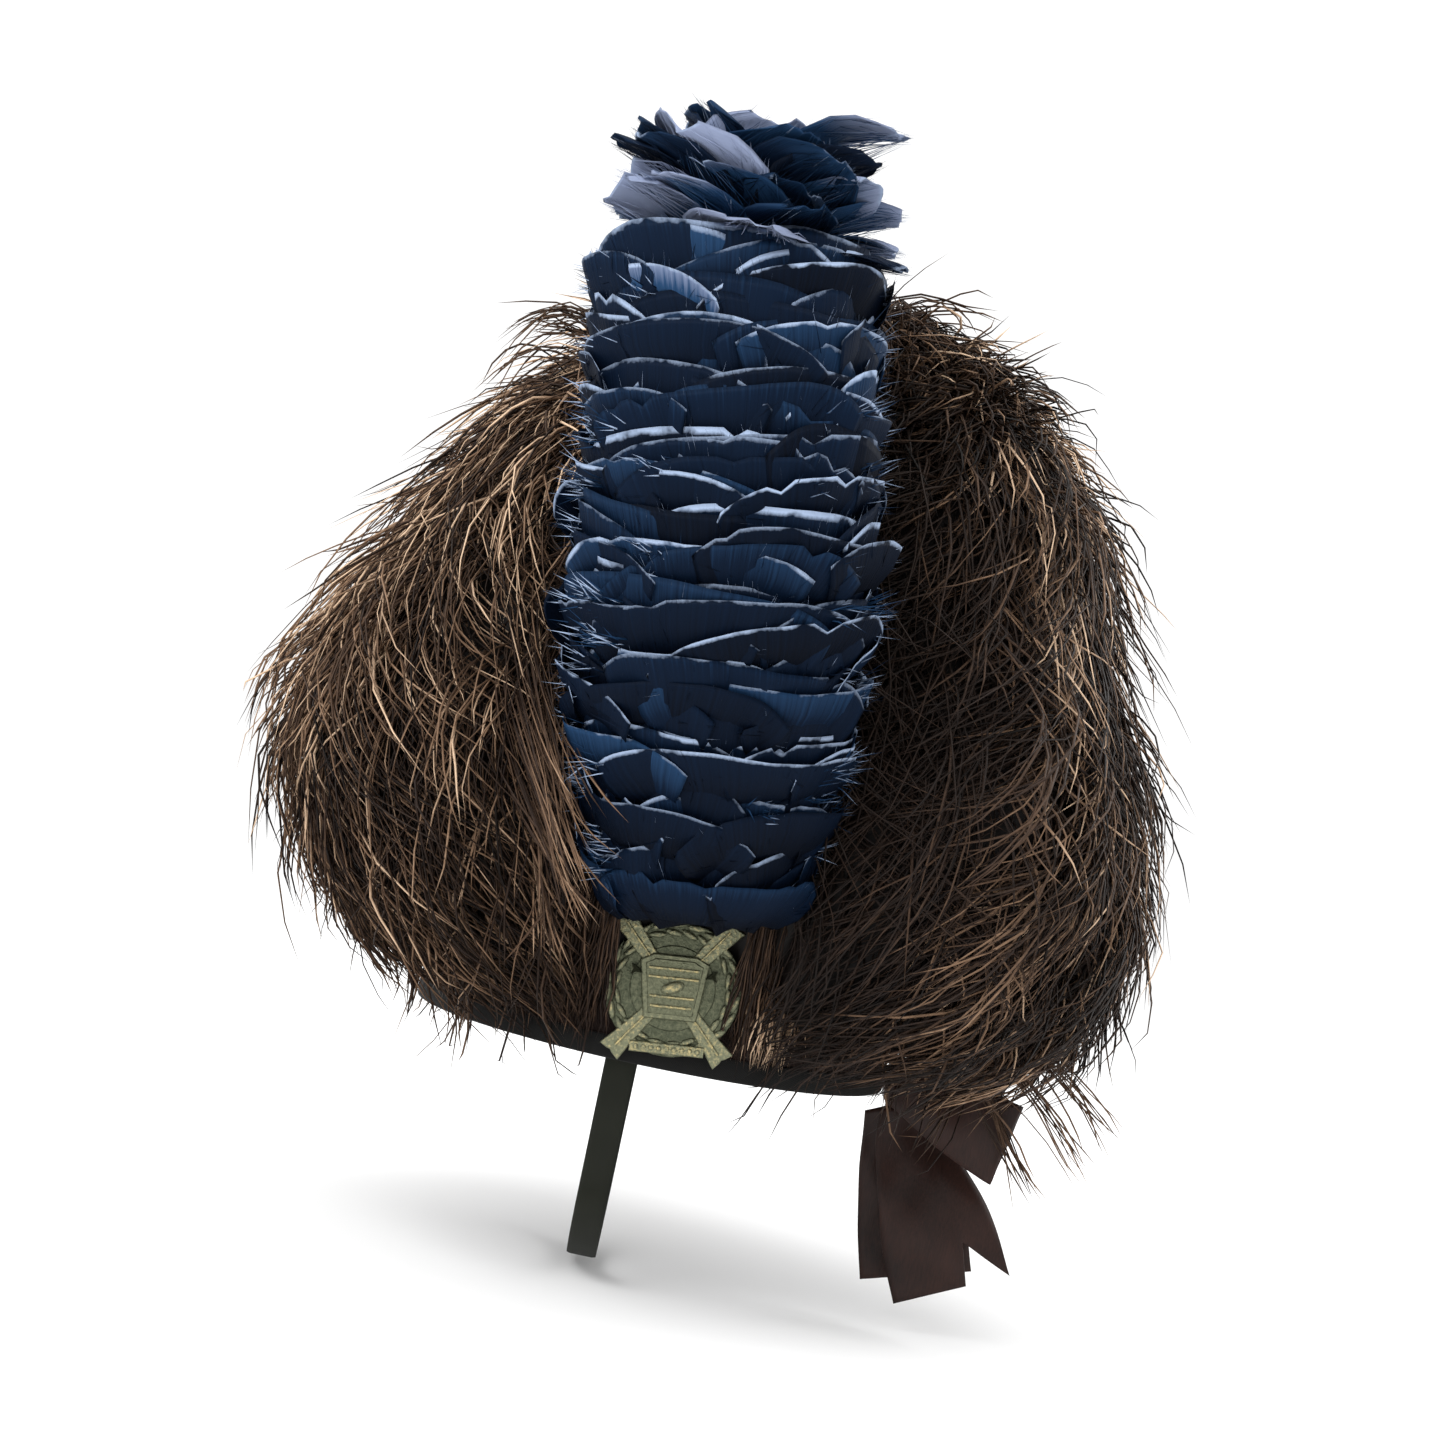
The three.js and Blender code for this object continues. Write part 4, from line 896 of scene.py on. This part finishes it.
def frayed(parts, rng, along, count):
    """Loose barbs that stand out sideways all round one tier, their pale tips a painted highlight."""
    bunch = np.tile([0, math.pi], 6) + rng.normal(0, 0.4, 12)
    which = rng.integers(0, 12, count)
    turn = bunch[which] + rng.normal(0, 0.09, count)
    low = rng.uniform(0.35, 0.9, 12)[which] + rng.normal(0, 0.05, count)
    middle, up, away, across = tier_frame(along)
    aim = np.cos(turn)[:, None] * across + np.sin(turn)[:, None] * away
    ring = np.hypot(HACKLE_HALF_WIDTH * np.cos(turn), HACKLE_HALF_DEPTH * np.sin(turn))
    ring = ring * hackle_reach(along) * (1 + 0.12 * (1 - along) ** 1.5)
    start = middle + aim * (ring * 0.82)[:, None] + up * (PETAL_RISE * low)[:, None]
    reach = (ring * rng.uniform(0.1, 0.27, count))[:, None]
    single = (count, 1)
    lean = rng.normal(0.25, 0.3, single)
    centre = start + aim * reach * 0.6 + up * reach * lean * 0.4
    tip = start + aim * reach * 1.25 + up * reach * lean + rng.normal(0, 1.0, (count, 3))
    radius = rng.uniform(0.22, 0.46, single) * [1, 0.9, 0.5]
    # Painted highlight: the tips are paler on the side the light comes from.
    front = np.where(np.cos(turn) < 0, 2.0, 1.2)[:, None]
    glow = (rng.random(single) < 0.6) * front * rng.uniform(0.6, 1.1, single) * [0.1, 0.6, 1.0]
    shade = np.full((count, 3), rng.uniform(0.4, 0.9))
    parts.add_barbs(np.stack([start, centre, tip], axis=1), radius, up, rim=glow, shade=shade)


def tuft_surface(rng, turn, length, lean, width, droop, foot):
    """A petal of the top tuft that leans out by an angle and bends over at its tip."""
    middle, _, away, _ = hackle_frame(np.array(1.0))
    up = unit(np.array([-0.06, 0.03, 1.0]))
    away = unit(away - up * np.dot(away, up))
    across = np.cross(up, away)
    middle = middle + 4 * across
    outward = across * math.cos(turn) + 0.72 * away * math.sin(turn)
    aside = np.cross(up, unit(outward))
    twist = rng.normal(0, 0.16)
    wave = rng.normal(0, 2.0)
    v_line = np.linspace(0, 1, 21)
    bend = lean * (0.35 + 0.65 * v_line) + droop * np.maximum(v_line - 0.55, 0) * 2
    rise, reach = (np.append(0, np.cumsum(way(bend[1:]))) * length / 20 for way in (np.cos, np.sin))

    def surface(u, v):
        spread = np.interp(v, [0, 0.25, 0.6, 0.85, 1], [0.3, 0.75, 1.0, 0.86, 0.45]) * width / 2
        along = np.interp(v, v_line, rise) + foot + twist * u * spread + wave * np.sin(3 * u) * v
        out = 5 + np.interp(v, v_line, reach) - 0.3 * spread * u**2
        place_at = middle + along[..., None] * up + out[..., None] * outward
        return place_at + (u * spread)[..., None] * aside

    return surface


TUFT_RINGS = [
    # petals, lean, droop, length, width, foot, shade
    (9, 1.5, 0.1, 68, 54, 2, 0.6),
    (8, 1.3, 0.1, 73, 56, 3, 0.75),
    (7, 1.05, 0.3, 73, 58, 4, 0.6),
    (6, 0.78, 0.5, 71, 60, 4, 0.5),
    (5, 0.4, 0.8, 69, 56, 5, 0.9),
]

PALE_PETALS = [
    # turn, length, lean, width, droop, foot, shade
    (0.15, 88, 0.55, 52, 1.3, 13, 1.0),
    (2.7, 66, 1.5, 46, 0.2, -4, 1.25),
    (-0.3, 70, 1.45, 46, 0.3, 2, 1.0),
]


def hackle():
    rng = np.random.default_rng(40)
    parts = Parts("rim", "shade", "strand")
    for tier in range(HACKLE_TIERS - 1):
        along = tier / (HACKLE_TIERS - 1)
        frayed(parts, rng, along, FRAYED_BARBS)
        for layer in range(TIER_LAYERS):
            for i in range(TIER_PETALS):
                turn = tier * 0.63 + TURN * (i + 0.33 * layer) / TIER_PETALS + rng.normal(0, 0.12)
                scale = 1.01 - 0.04 * layer + rng.normal(0, 0.03)
                scale += 0.04 * along + 0.12 * (1 - along) ** 1.5
                rise = 0.98 + 0.16 * (layer - 1.5) + rng.normal(0, 0.06)
                half_angle = rng.uniform(0.95, 1.3)
                wave = rng.uniform(0.5, 4.0)
                surface = tier_surface(rng, along, turn, half_angle, scale, rise, wave)
                shade = np.clip(rng.normal(0.25, 0.15), 0.03, 0.75)
                feather(parts, rng, surface, shade, rng.choice([0.2, 0.85, 1.15, 1.4]), TIER_VANE)
    rng = np.random.default_rng(43)
    for *form, shade in PALE_PETALS:
        surface = tuft_surface(rng, *form)
        feather(parts, rng, surface, shade, 0.8, PALE_VANE)
    for petals, lean, droop, length, width, foot, shade_at in TUFT_RINGS:
        start = rng.uniform(0, TURN)
        for i in range(petals):
            turn = start + TURN * i / petals + rng.normal(0, 0.16)
            spans = ((length, 0.85, 1.12), (lean, 0.8, 1.2), (width, 0.8, 1.2), (droop, 0.3, 1.7))
            form = [value * rng.uniform(least, most) for value, least, most in spans]
            surface = tuft_surface(rng, turn, *form, foot + rng.normal(0, 4))
            shade = rng.choice([0.5, 0.8, 1.2, 2.4], p=[0.3, 0.3, 0.22, 0.18]) * shade_at
            feather(parts, rng, surface, shade, rng.choice([0.3, 0.8, 1.0]), TUFT_VANE)
    shares = np.linspace(0.02, 1, CORE_RINGS)
    middle, _, away, across = hackle_frame(shares)
    reach = 0.6 * hackle_reach(shares)[:, None]
    core = middle[:, None] + round_hackle(reach, turns_of(CORE_SIDES), across[:, None], away[:, None])
    parts.add(core, [faces[:, ::-1] for faces in tube_faces(CORE_RINGS, CORE_SIDES)], shade=0.05)
    x = HEAD_WIDTH / 2 + BAND_OUTSIDE + SEWN_GAP + WIRE_RADIUS
    y, z = BADGE_MIDDLE_Y, BADGE_MIDDLE_Z
    wire_top = catmull(HACKLE_AXIS, [0.125])[0]
    line = catmull([(x, y, z), (x, y, 60), (x + 3, y, 68), wire_top], np.linspace(0, 1, 16))
    parts.add(line[:, None] + circle(WIRE_RADIUS, 8), tube_faces(16, 8), shade=0.1)
    stands_for(parts.piece("hackle_feathers", HACKLE), "hackle")


hackle()


# Cap, band and binding


def turned(sections, name, cloth, replaced):
    """A closed wall from rings of points, looped from the last ring back to the first."""
    rings = np.array(sections)
    faces = grid_faces(len(rings), rings.shape[1], looped_rows=True, looped_columns=True)[:, ::-1]
    stands_for(mesh_piece(name, rings.reshape(-1, 3), [faces], cloth), replaced)


def ring_at(out, z, spread=1.0, segments=120):
    return np.column_stack([oval(turns_of(segments), out, spread), np.full(segments, z)])


def rounded_wall(inside, outside, bottom, top):
    """Rings of a wall whose edges are rounded, from its inner foot out and up."""
    half = (outside - inside) / 2
    middle = (outside + inside) / 2
    turns = np.linspace(-math.pi / 2, math.pi / 2, 7)
    lower = [(middle + half * math.sin(t), bottom + half - half * math.cos(t)) for t in turns]
    sides = [(outside, bottom + (top - bottom) * k / 6) for k in range(1, 6)]
    upper = [(middle + half * math.sin(-t), top - half + half * math.cos(t)) for t in turns]
    inner = [(inside, top - (top - bottom) * k / 6) for k in range(1, 6)]
    return [ring_at(out, z) for out, z in [*lower, *sides, *upper, *inner]]


BAND_RINGS = rounded_wall(BAND_INSIDE, BAND_OUTSIDE, 0, BAND_HEIGHT)
turned(BAND_RINGS, "band_cloth", BAND_CLOTH, "head_band")


def binding_rings():
    foot = -SEWN_GAP
    bottom = foot - BINDING_DROP
    inside, outside = BINDING_INSIDE, BINDING_OUTSIDE
    profile = [
        (0.1, foot - 0.2), (0, foot - 0.6), (0.2, bottom + 0.15), (0.8, bottom), (3, bottom),
        (outside - 0.7, bottom), (outside - 0.15, bottom + 0.3), (outside, bottom + 0.9), (outside, 3),
        (outside, BINDING_HEIGHT - 0.5), (outside - 0.3, BINDING_HEIGHT), (inside + 0.3, BINDING_HEIGHT),
        (inside, BINDING_HEIGHT - 0.5), (inside, 1), (inside, foot), (1, foot),
    ]
    return [ring_at(out, z) for out, z in profile]


turned(binding_rings(), "binding_tape", TAPE, "rim_binding")


def cap_shell():
    heights = np.linspace(0, CAP_FORM[-1, 0], 22)
    spreads = np.interp(heights, CAP_FORM[:, 0], CAP_FORM[:, 1])
    inside = [ring_at(0, h * (CAP_HEIGHT - CAP_WALL), s, 96) for h, s in zip(heights, spreads)]
    outside = [ring_at(CAP_WALL, h * CAP_HEIGHT, s, 96) for h, s in zip(heights, spreads)]
    rings = np.array(inside[::-1] + outside)
    rows, columns = rings.shape[:2]
    tops = [(0, 0, CAP_HEIGHT - CAP_WALL), (0, 0, CAP_HEIGHT)]
    points = np.concatenate([rings.reshape(-1, 3), tops])
    first = fan(0, columns, rows * columns)[:, ::-1]
    last = fan((rows - 1) * columns, columns, rows * columns + 1)
    body = grid_faces(rows, columns, looped_columns=True)[:, ::-1]
    stands_for(mesh_piece("cap_cloth", points, [body, first, last], CAP_CLOTH), "cap_shell")


cap_shell()


# Badge: x to the back, y up and z out from the cap, before it is seated

BADGE_SEAT = (
    Matrix.Translation((90.9, BADGE_MIDDLE_Y, BADGE_MIDDLE_Z))
    @ Matrix(((0, 0, 1, 0), (1, 0, 0, 0), (0, 1, 0, 0), (0, 0, 0, 1)))
    @ Matrix.Rotation(BADGE_TURN, 4, "Z")
)


def spun(points, turn):
    """Points or an outline turned round z."""
    points = np.array(points, float)
    points[:, :2] = points[:, :2] @ [[math.cos(turn), math.sin(turn)], [-math.sin(turn), math.cos(turn)]]
    return points


def extruded(outline, low, high, bevel):
    """A flat shape with bevelled upper edges: an outline of (x, y) points, anticlockwise."""
    outline = np.asarray(outline, float)
    centre = outline.mean(axis=0)
    before = np.roll(outline, 1, axis=0)
    after = np.roll(outline, -1, axis=0)
    edge = unit(after - before)
    inward = np.stack([-edge[:, 1], edge[:, 0]], axis=-1)
    n = len(outline)
    steps = [(0, low), (0, high - bevel), (bevel * 0.4, high - bevel * 0.35), (bevel, high)]
    rings = [np.column_stack([outline + inward * shrunk, np.full(n, z)]) for shrunk, z in steps]
    points = np.concatenate([*rings, [[*centre, low], [*centre, high]]])
    ends = [fan(0, n, 4 * n)[:, ::-1], fan(3 * n, n, 4 * n + 1)]
    return points, [grid_faces(4, n, looped_columns=True)[:, ::-1], *ends]


def dome(centre, radii, turn, rings, sides):
    """The upper half of a lens with a flat foot."""
    ups = (math.pi / 2) * np.arange(rings) / rings
    rows = [circle(math.cos(up), sides, (0, 0, math.sin(up))) * radii for up in ups]
    points = np.concatenate([*rows, [[0, 0, radii[2]], [0, 0, -0.3]]])
    points = spun(points, turn) + np.asarray(centre)
    top = fan((rings - 1) * sides, sides, rings * sides)
    foot = fan(0, sides, rings * sides + 1)[:, ::-1]
    return points, [grid_faces(rings, sides, looped_columns=True)[:, ::-1], top, foot]


BADGE_ARM = [(0, -3.2), (0.45, -3.4), (0.8, -4.4), (1, -5.2), (0.99, -1.5), (0.975, 0),
             (0.99, 1.5), (1, 5.2), (0.8, 4.4), (0.45, 3.4), (0, 3.2)]
BADGE_PANEL = [(-11, -13), (11, -13), (14.5, 11), (9, 14), (-9, 14), (-14.5, 11)]
BADGE_INSET = [(-9.2, -10.8), (9.2, -10.8), (12, 9.8), (8, 12), (-8, 12), (-12, 9.8)]
BADGE_SLOT = [(-2.6, -1.1), (0.4, -0.9), (2.4, -2.2), (1.4, 0.4), (2.2, 2.4), (-0.4, 1.3)]


def block(x, y, half_width, half_height):
    return [
        (x - half_width, y - half_height), (x + half_width, y - half_height),
        (x + half_width, y + half_height), (x - half_width, y + half_height),
    ]


def badge():
    parts = Parts("relief")

    def add(shape, low, high):
        points, faces = shape
        z = points[:, 2]
        share = (z - z.min()) / max(z.max() - z.min(), 1e-6)
        parts.add(points, faces, relief=low + (high - low) * share)

    add(extruded(circle(BADGE_RADIUS * 1.06, 64)[:, :2], 0, BADGE_PLATE, 0.5), 0, 0.4)
    add(extruded(circle(BADGE_RADIUS * 0.66, 64)[:, :2], 0.2, BADGE_PLATE + 0.6, 0.4), 0, 0.42)
    for degrees in (50, 130, 230, 310):
        a = math.radians(degrees)
        outline = [(BADGE_ARM_LENGTH * along, beside) for along, beside in BADGE_ARM]
        add(extruded(spun(outline, a), 0.1, BADGE_PLATE + 1.3, 0.6), 0, 0.85)
        far = BADGE_ARM_LENGTH * 0.9
        ridge = [(4, -0.5), (far, -0.6), (far, 0.6), (4, 0.5)]
        add(extruded(spun(ridge, a), 1, BADGE_PLATE + 1.9, 0.4), 0.3, 1)
    for i in range(BADGE_LEAVES):
        a = TURN * (i + 0.5) / BADGE_LEAVES
        lean = (1 if math.sin(a) > 0 else -1) * 0.22
        for radius, scale, tilt, ahead in ((0.99, 1.1, 1, 0), (0.86, 1, -0.8, 0.08)):
            turn = a + math.pi / 2 + lean * tilt
            around = a + ahead
            out = BADGE_RADIUS * radius
            at = (out * math.cos(around), out * math.sin(around), BADGE_PLATE - 0.3)
            add(dome(at, (4.2 * scale, 1.5 * scale, 1.5), turn, 4, 10), 0.1, 0.9)
    add(extruded(block(0, -25.1, 15.5, 2.3), 0.1, BADGE_PLATE + 2, 0.7), 0, 0.9)
    for i in range(9):
        add(dome((-12.8 + 3.2 * i, -25.1, BADGE_PLATE + 1.9), (1.25, 1.25, 0.7), 0, 3, 8), 0.5, 1)
    add(extruded(BADGE_PANEL, 0.2, BADGE_PLATE + 2.3, 0.7), 0, 0.72)
    add(extruded(BADGE_INSET, 0.4, BADGE_PLATE + 2.8, 0.4), 0, 0.6)
    for y, half in ((-7.5, 8.6), (-3.5, 9.2), (4.5, 10.4), (8.2, 10.6)):
        add(extruded(block(0, y, half, 0.55), 0.6, BADGE_PLATE + 3.4, 0.3), 0.5, 1)
    add(dome((0, 0.5, BADGE_PLATE + 2.6), (5.2, 2.6, 1.6), 0.35, 4, 16), 0.4, 1)
    for side in (-1, 1):
        slot = [(side * (x + 15.6), y + 6.4) for x, y in BADGE_SLOT[::side]]
        # Painted shade: each slot is solid brass set to the darkest tone, standing for the shade inside it.
        add(extruded(slot, 0.5, BADGE_PLATE + 2.5, 0.1), -1.2, -1.2)
        lug = block(side * BADGE_RADIUS * 0.36, -BADGE_RADIUS * 0.35, 1.5, 1.5)
        add(extruded(lug, -3.9, 0.8, 0.2), 0, 0.1)
    made = parts.piece("brass_badge", BRASS, smooth=False)
    seat = BADGE_SEAT.copy()
    seat.translation *= MM
    made.data.transform(seat)
    stands_for(made, "badge")


badge()


# Strap and ribbon


def outward(made):
    """Turns a closed piece's faces outward."""
    work = bmesh.new()
    work.from_mesh(made.data)
    bmesh.ops.recalc_face_normals(work, faces=work.faces)
    work.to_mesh(made.data)
    work.free()


def strip(name, path, across, widths, thickness, cloth, columns, folds, wrinkle, seed, cut=None):
    """A closed strip of cloth along a path, cupped by its folds."""
    path = np.asarray(path, float)
    ahead = unit(np.gradient(path, axis=0))
    across = unit(across - ahead * np.sum(across * ahead, axis=1, keepdims=True))
    face = np.cross(ahead, across)
    side = np.linspace(-1, 1, columns)
    rng = np.random.default_rng(seed)
    phases = rng.uniform(0, TURN, 3)
    row = np.linspace(0, 1, len(path))[:, None]
    waves = ((1, 5, 2.6), (0.6, 11, -4.1), (0.4, 19, 5.2))
    crease = wrinkle * sum(
        size * np.sin(down * row + over * side + start) for (size, down, over), start in zip(waves, phases)
    )
    middle = path[:, None] + across[:, None] * (side[None, :, None] * widths[:, None, None] / 2)
    middle = middle + face[:, None] * (folds[:, None] * (1 - side**2) + crease)[..., None]
    if cut is not None:
        middle = cut(middle, side)
    depth = thickness / 2 * np.minimum(1, (1 - np.abs(side)) * 6 + 0.45)
    half = face[:, None] * depth[None, :, None]
    loop = np.concatenate([middle + half, (middle - half)[:, ::-1]], axis=1)
    faces = [quads[:, ::-1] for quads in slab_faces(*loop.shape[:2])]
    made = mesh_piece(name, loop.reshape(-1, 3), faces, cloth)
    outward(made)
    return made


def chin_strap():
    side = [(79.2, STRAP_Y, 12), (79.2, STRAP_Y, -4), (73.6, STRAP_Y, -29)]
    chin = [(64 * math.cos(t), STRAP_Y, -58 - 42 * math.sin(t)) for t in np.linspace(0, math.pi, 25)]
    mirrored = [(-x, y, z) for x, y, z in side[::-1]]
    path = catmull([*side, *chin, *mirrored], np.linspace(0, 1, 110))
    across = np.array([[0.0, 1.0, 0.0]])
    flat = np.zeros(len(path))
    made = strip("strap_elastic", path, across, flat + STRAP_WIDTH, STRAP_THICKNESS, ELASTIC, 9, flat, 0, 0)
    stands_for(made, "chin_strap")


chin_strap()


KNOT_FORM = [
    # place along it, thickness
    (-1, 0.5), (-0.97, 0.72), (-0.6, 0.96), (-0.2, 1), (0.2, 0.98), (0.6, 0.94), (0.97, 0.7), (1, 0.5),
]


def knot():
    turns = turns_of(KNOT_SIDES)
    rows = []
    for along, size in KNOT_FORM:
        out = size * (1 + 0.05 * np.sin(7 * turns) * (1 - abs(along) * 0.5))
        ring = np.column_stack([np.full(KNOT_SIDES, along), out * np.cos(turns), out * np.sin(turns)])
        rows.append(ring * KNOT_SIZE / 2 + KNOT_MIDDLE)
    faces = tube_faces(len(KNOT_FORM), KNOT_SIDES)
    made = mesh_piece("bow_knot", np.concatenate(rows), faces, SATIN)
    outward(made)
    stands_for(made, "ribbon_knot")


knot()

# Rows: left, back, up, turn in degrees, width and fold, as shares of the ribbon's width
RIBBON_TAILS = {
    "ribbon_tail_near": [(-0.07, 0, 0, 78, 0.44, 0.01), (-0.02, 0.19, -0.4, 80, 0.74, 0.015),
                         (0.05, 0.4, -0.95, 82, 0.96, 0.01), (0.11, 0.54, -1.42, 84, 1, 0.005)],
    "ribbon_tail_far": [(0.09, 0.18, 0.045, 88, 0.5, 0), (0.14, 0.26, -0.28, 90, 0.66, -0.03),
                        (0.3, 0.6, -0.92, 88, 1, 0.06), (0.42, 0.84, -1.42, 80, 1.06, -0.04)],
}
# The same, with half the gap between the two layers of a loop
LOOP_ROWS = [(0.04, 0, 0.02, 90, 0.34, 0, 0.03), (0.24, 0.5, -0.1, 90, 0.62, 0.03, 0.05),
             (0.34, 0.92, -0.22, 90, 0.72, 0.02, 0.04), (0.36, 1.03, -0.25, 90, 0.74, 0, 0)]


def ribbon(name, rows, start, side, tilt, wrinkle, seed, samples, cut=None):
    """One length of satin along rows of a table, with its length and its flat area."""
    rows = np.array(rows, float)
    places = np.column_stack([side * rows[:, 0], rows[:, 1], rows[:, 2]]) * RIBBON_WIDTH + start
    fine = catmull(np.column_stack([places, rows[:, 3:]]), np.linspace(0, 1, samples))
    turns = np.radians(fine[:, 3])
    across = np.column_stack([side * np.cos(turns), np.sin(turns), np.full(samples, tilt)])
    widths = fine[:, 4] * RIBBON_WIDTH
    folds = fine[:, 5] * RIBBON_WIDTH
    made = strip(
        f"{name}_satin", fine[:, :3], across, widths, SATIN_THICKNESS, SATIN, 17, folds, wrinkle, seed, cut
    )
    stands_for(made, name)
    steps = np.linalg.norm(np.diff(fine[:, :3], axis=0), axis=1)
    area = np.sum(steps * (widths[1:] + widths[:-1]) / 2)
    return made, steps.sum(), area


def notch(middle, side):
    """Cuts a slanted notch into the last rows of a tail."""
    length = np.linalg.norm(middle[-1, 8] - middle[0, 8])
    gap = np.where(side > 0.34, NOTCH_DEPTH_SHARE * RIBBON_WIDTH * np.clip((1 - side) / 0.66, 0, 1), 0)
    rows = np.arange(len(middle))
    for column, short in enumerate(gap):
        at = rows * (1 - short / length)
        moved = [np.interp(at, rows, middle[:, column, k]) for k in range(3)]
        middle[:, column] = np.stack(moved, axis=-1)
    return middle


def ribbons():
    under = KNOT_MIDDLE + np.array([0, 0, -10.4])
    for seed, (name, rows) in enumerate(RIBBON_TAILS.items()):
        cut = notch if name == "ribbon_tail_far" else None
        made, length, area = ribbon(name, rows, under, 1, 0, 0.8, 60 + seed, 34, cut)
        if cut:
            area -= NOTCH_AREA_SHARE * RIBBON_WIDTH**2
    for side, name in ((1, "ribbon_loop_left"), (-1, "ribbon_loop_right")):
        beside = KNOT_MIDDLE + np.array([side * 13.9, 0, 0])
        rows = [(r[0] + r[6], *r[1:6]) for r in LOOP_ROWS]
        rows += [(r[0] - r[6], *r[1:6]) for r in LOOP_ROWS[-2::-1]]
        made, length, area = ribbon(name, rows, beside, side, 6, 0.3, 70 + side, 60)


ribbons()


# Floor, light and camera


FLOOR_SIZE = 60
FLOOR_GAP = 0.004
LAMP_AIM = Vector((0, 0, 0.15))


def stage():
    bpy.ops.mesh.primitive_plane_add(size=FLOOR_SIZE, location=(0, 0, cad_low[2] - FLOOR_GAP))
    floor = bpy.context.object
    floor.name = "pale_floor"
    paint = material("Pale floor paint", (0.94, 0.94, 0.94), 0.9, Specular_IOR_Level=0.0)
    floor.data.materials.append(paint)
    floor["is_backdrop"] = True
    world = bpy.data.worlds.new("Pale room")
    bpy.context.scene.world = world
    world.use_nodes = True
    background = world.node_tree.nodes["Background"]
    background.inputs["Color"].default_value = (1.0, 1.0, 1.0, 1)
    background.inputs["Strength"].default_value = 1.1
    bpy.context.scene.view_settings.view_transform = "Standard"
    for name, where, size, power in (
        ("Soft key light", (0.9, -0.75, 1.15), 0.9, 16),
        ("Soft top light", (0.0, 0.1, 1.5), 1.0, 8),
        ("Soft rim light", (-0.5, 1.1, 0.8), 0.8, 6),
    ):
        light = bpy.data.lights.new(name, "AREA")
        light.size = size
        light.energy = power
        lamp = bpy.data.objects.new(name, light)
        bpy.context.collection.objects.link(lamp)
        lamp.location = where
        lamp.rotation_euler = (LAMP_AIM - lamp.location).to_track_quat("-Z", "Y").to_euler()


stage()

CAMERA_PLACE = (1.15, 0.0023, 0.145)
CAMERA_ROLL = math.radians(12)
CAMERA_FIELD = math.radians(31.6)
camera_data = bpy.data.cameras.new("Camera")
camera_data.sensor_width = 36
camera_data.lens = camera_data.sensor_width / 2 / math.tan(CAMERA_FIELD / 2)
camera = bpy.data.objects.new("Camera", camera_data)
bpy.context.collection.objects.link(camera)
across = Vector((0, math.cos(CAMERA_ROLL), math.sin(CAMERA_ROLL)))
upward = Vector((0, -math.sin(CAMERA_ROLL), math.cos(CAMERA_ROLL)))
turned_frame = Matrix((across, upward, (1, 0, 0))).transposed()
camera.matrix_world = Matrix.Translation(CAMERA_PLACE) @ turned_frame.to_4x4()
bpy.context.scene.camera = camera
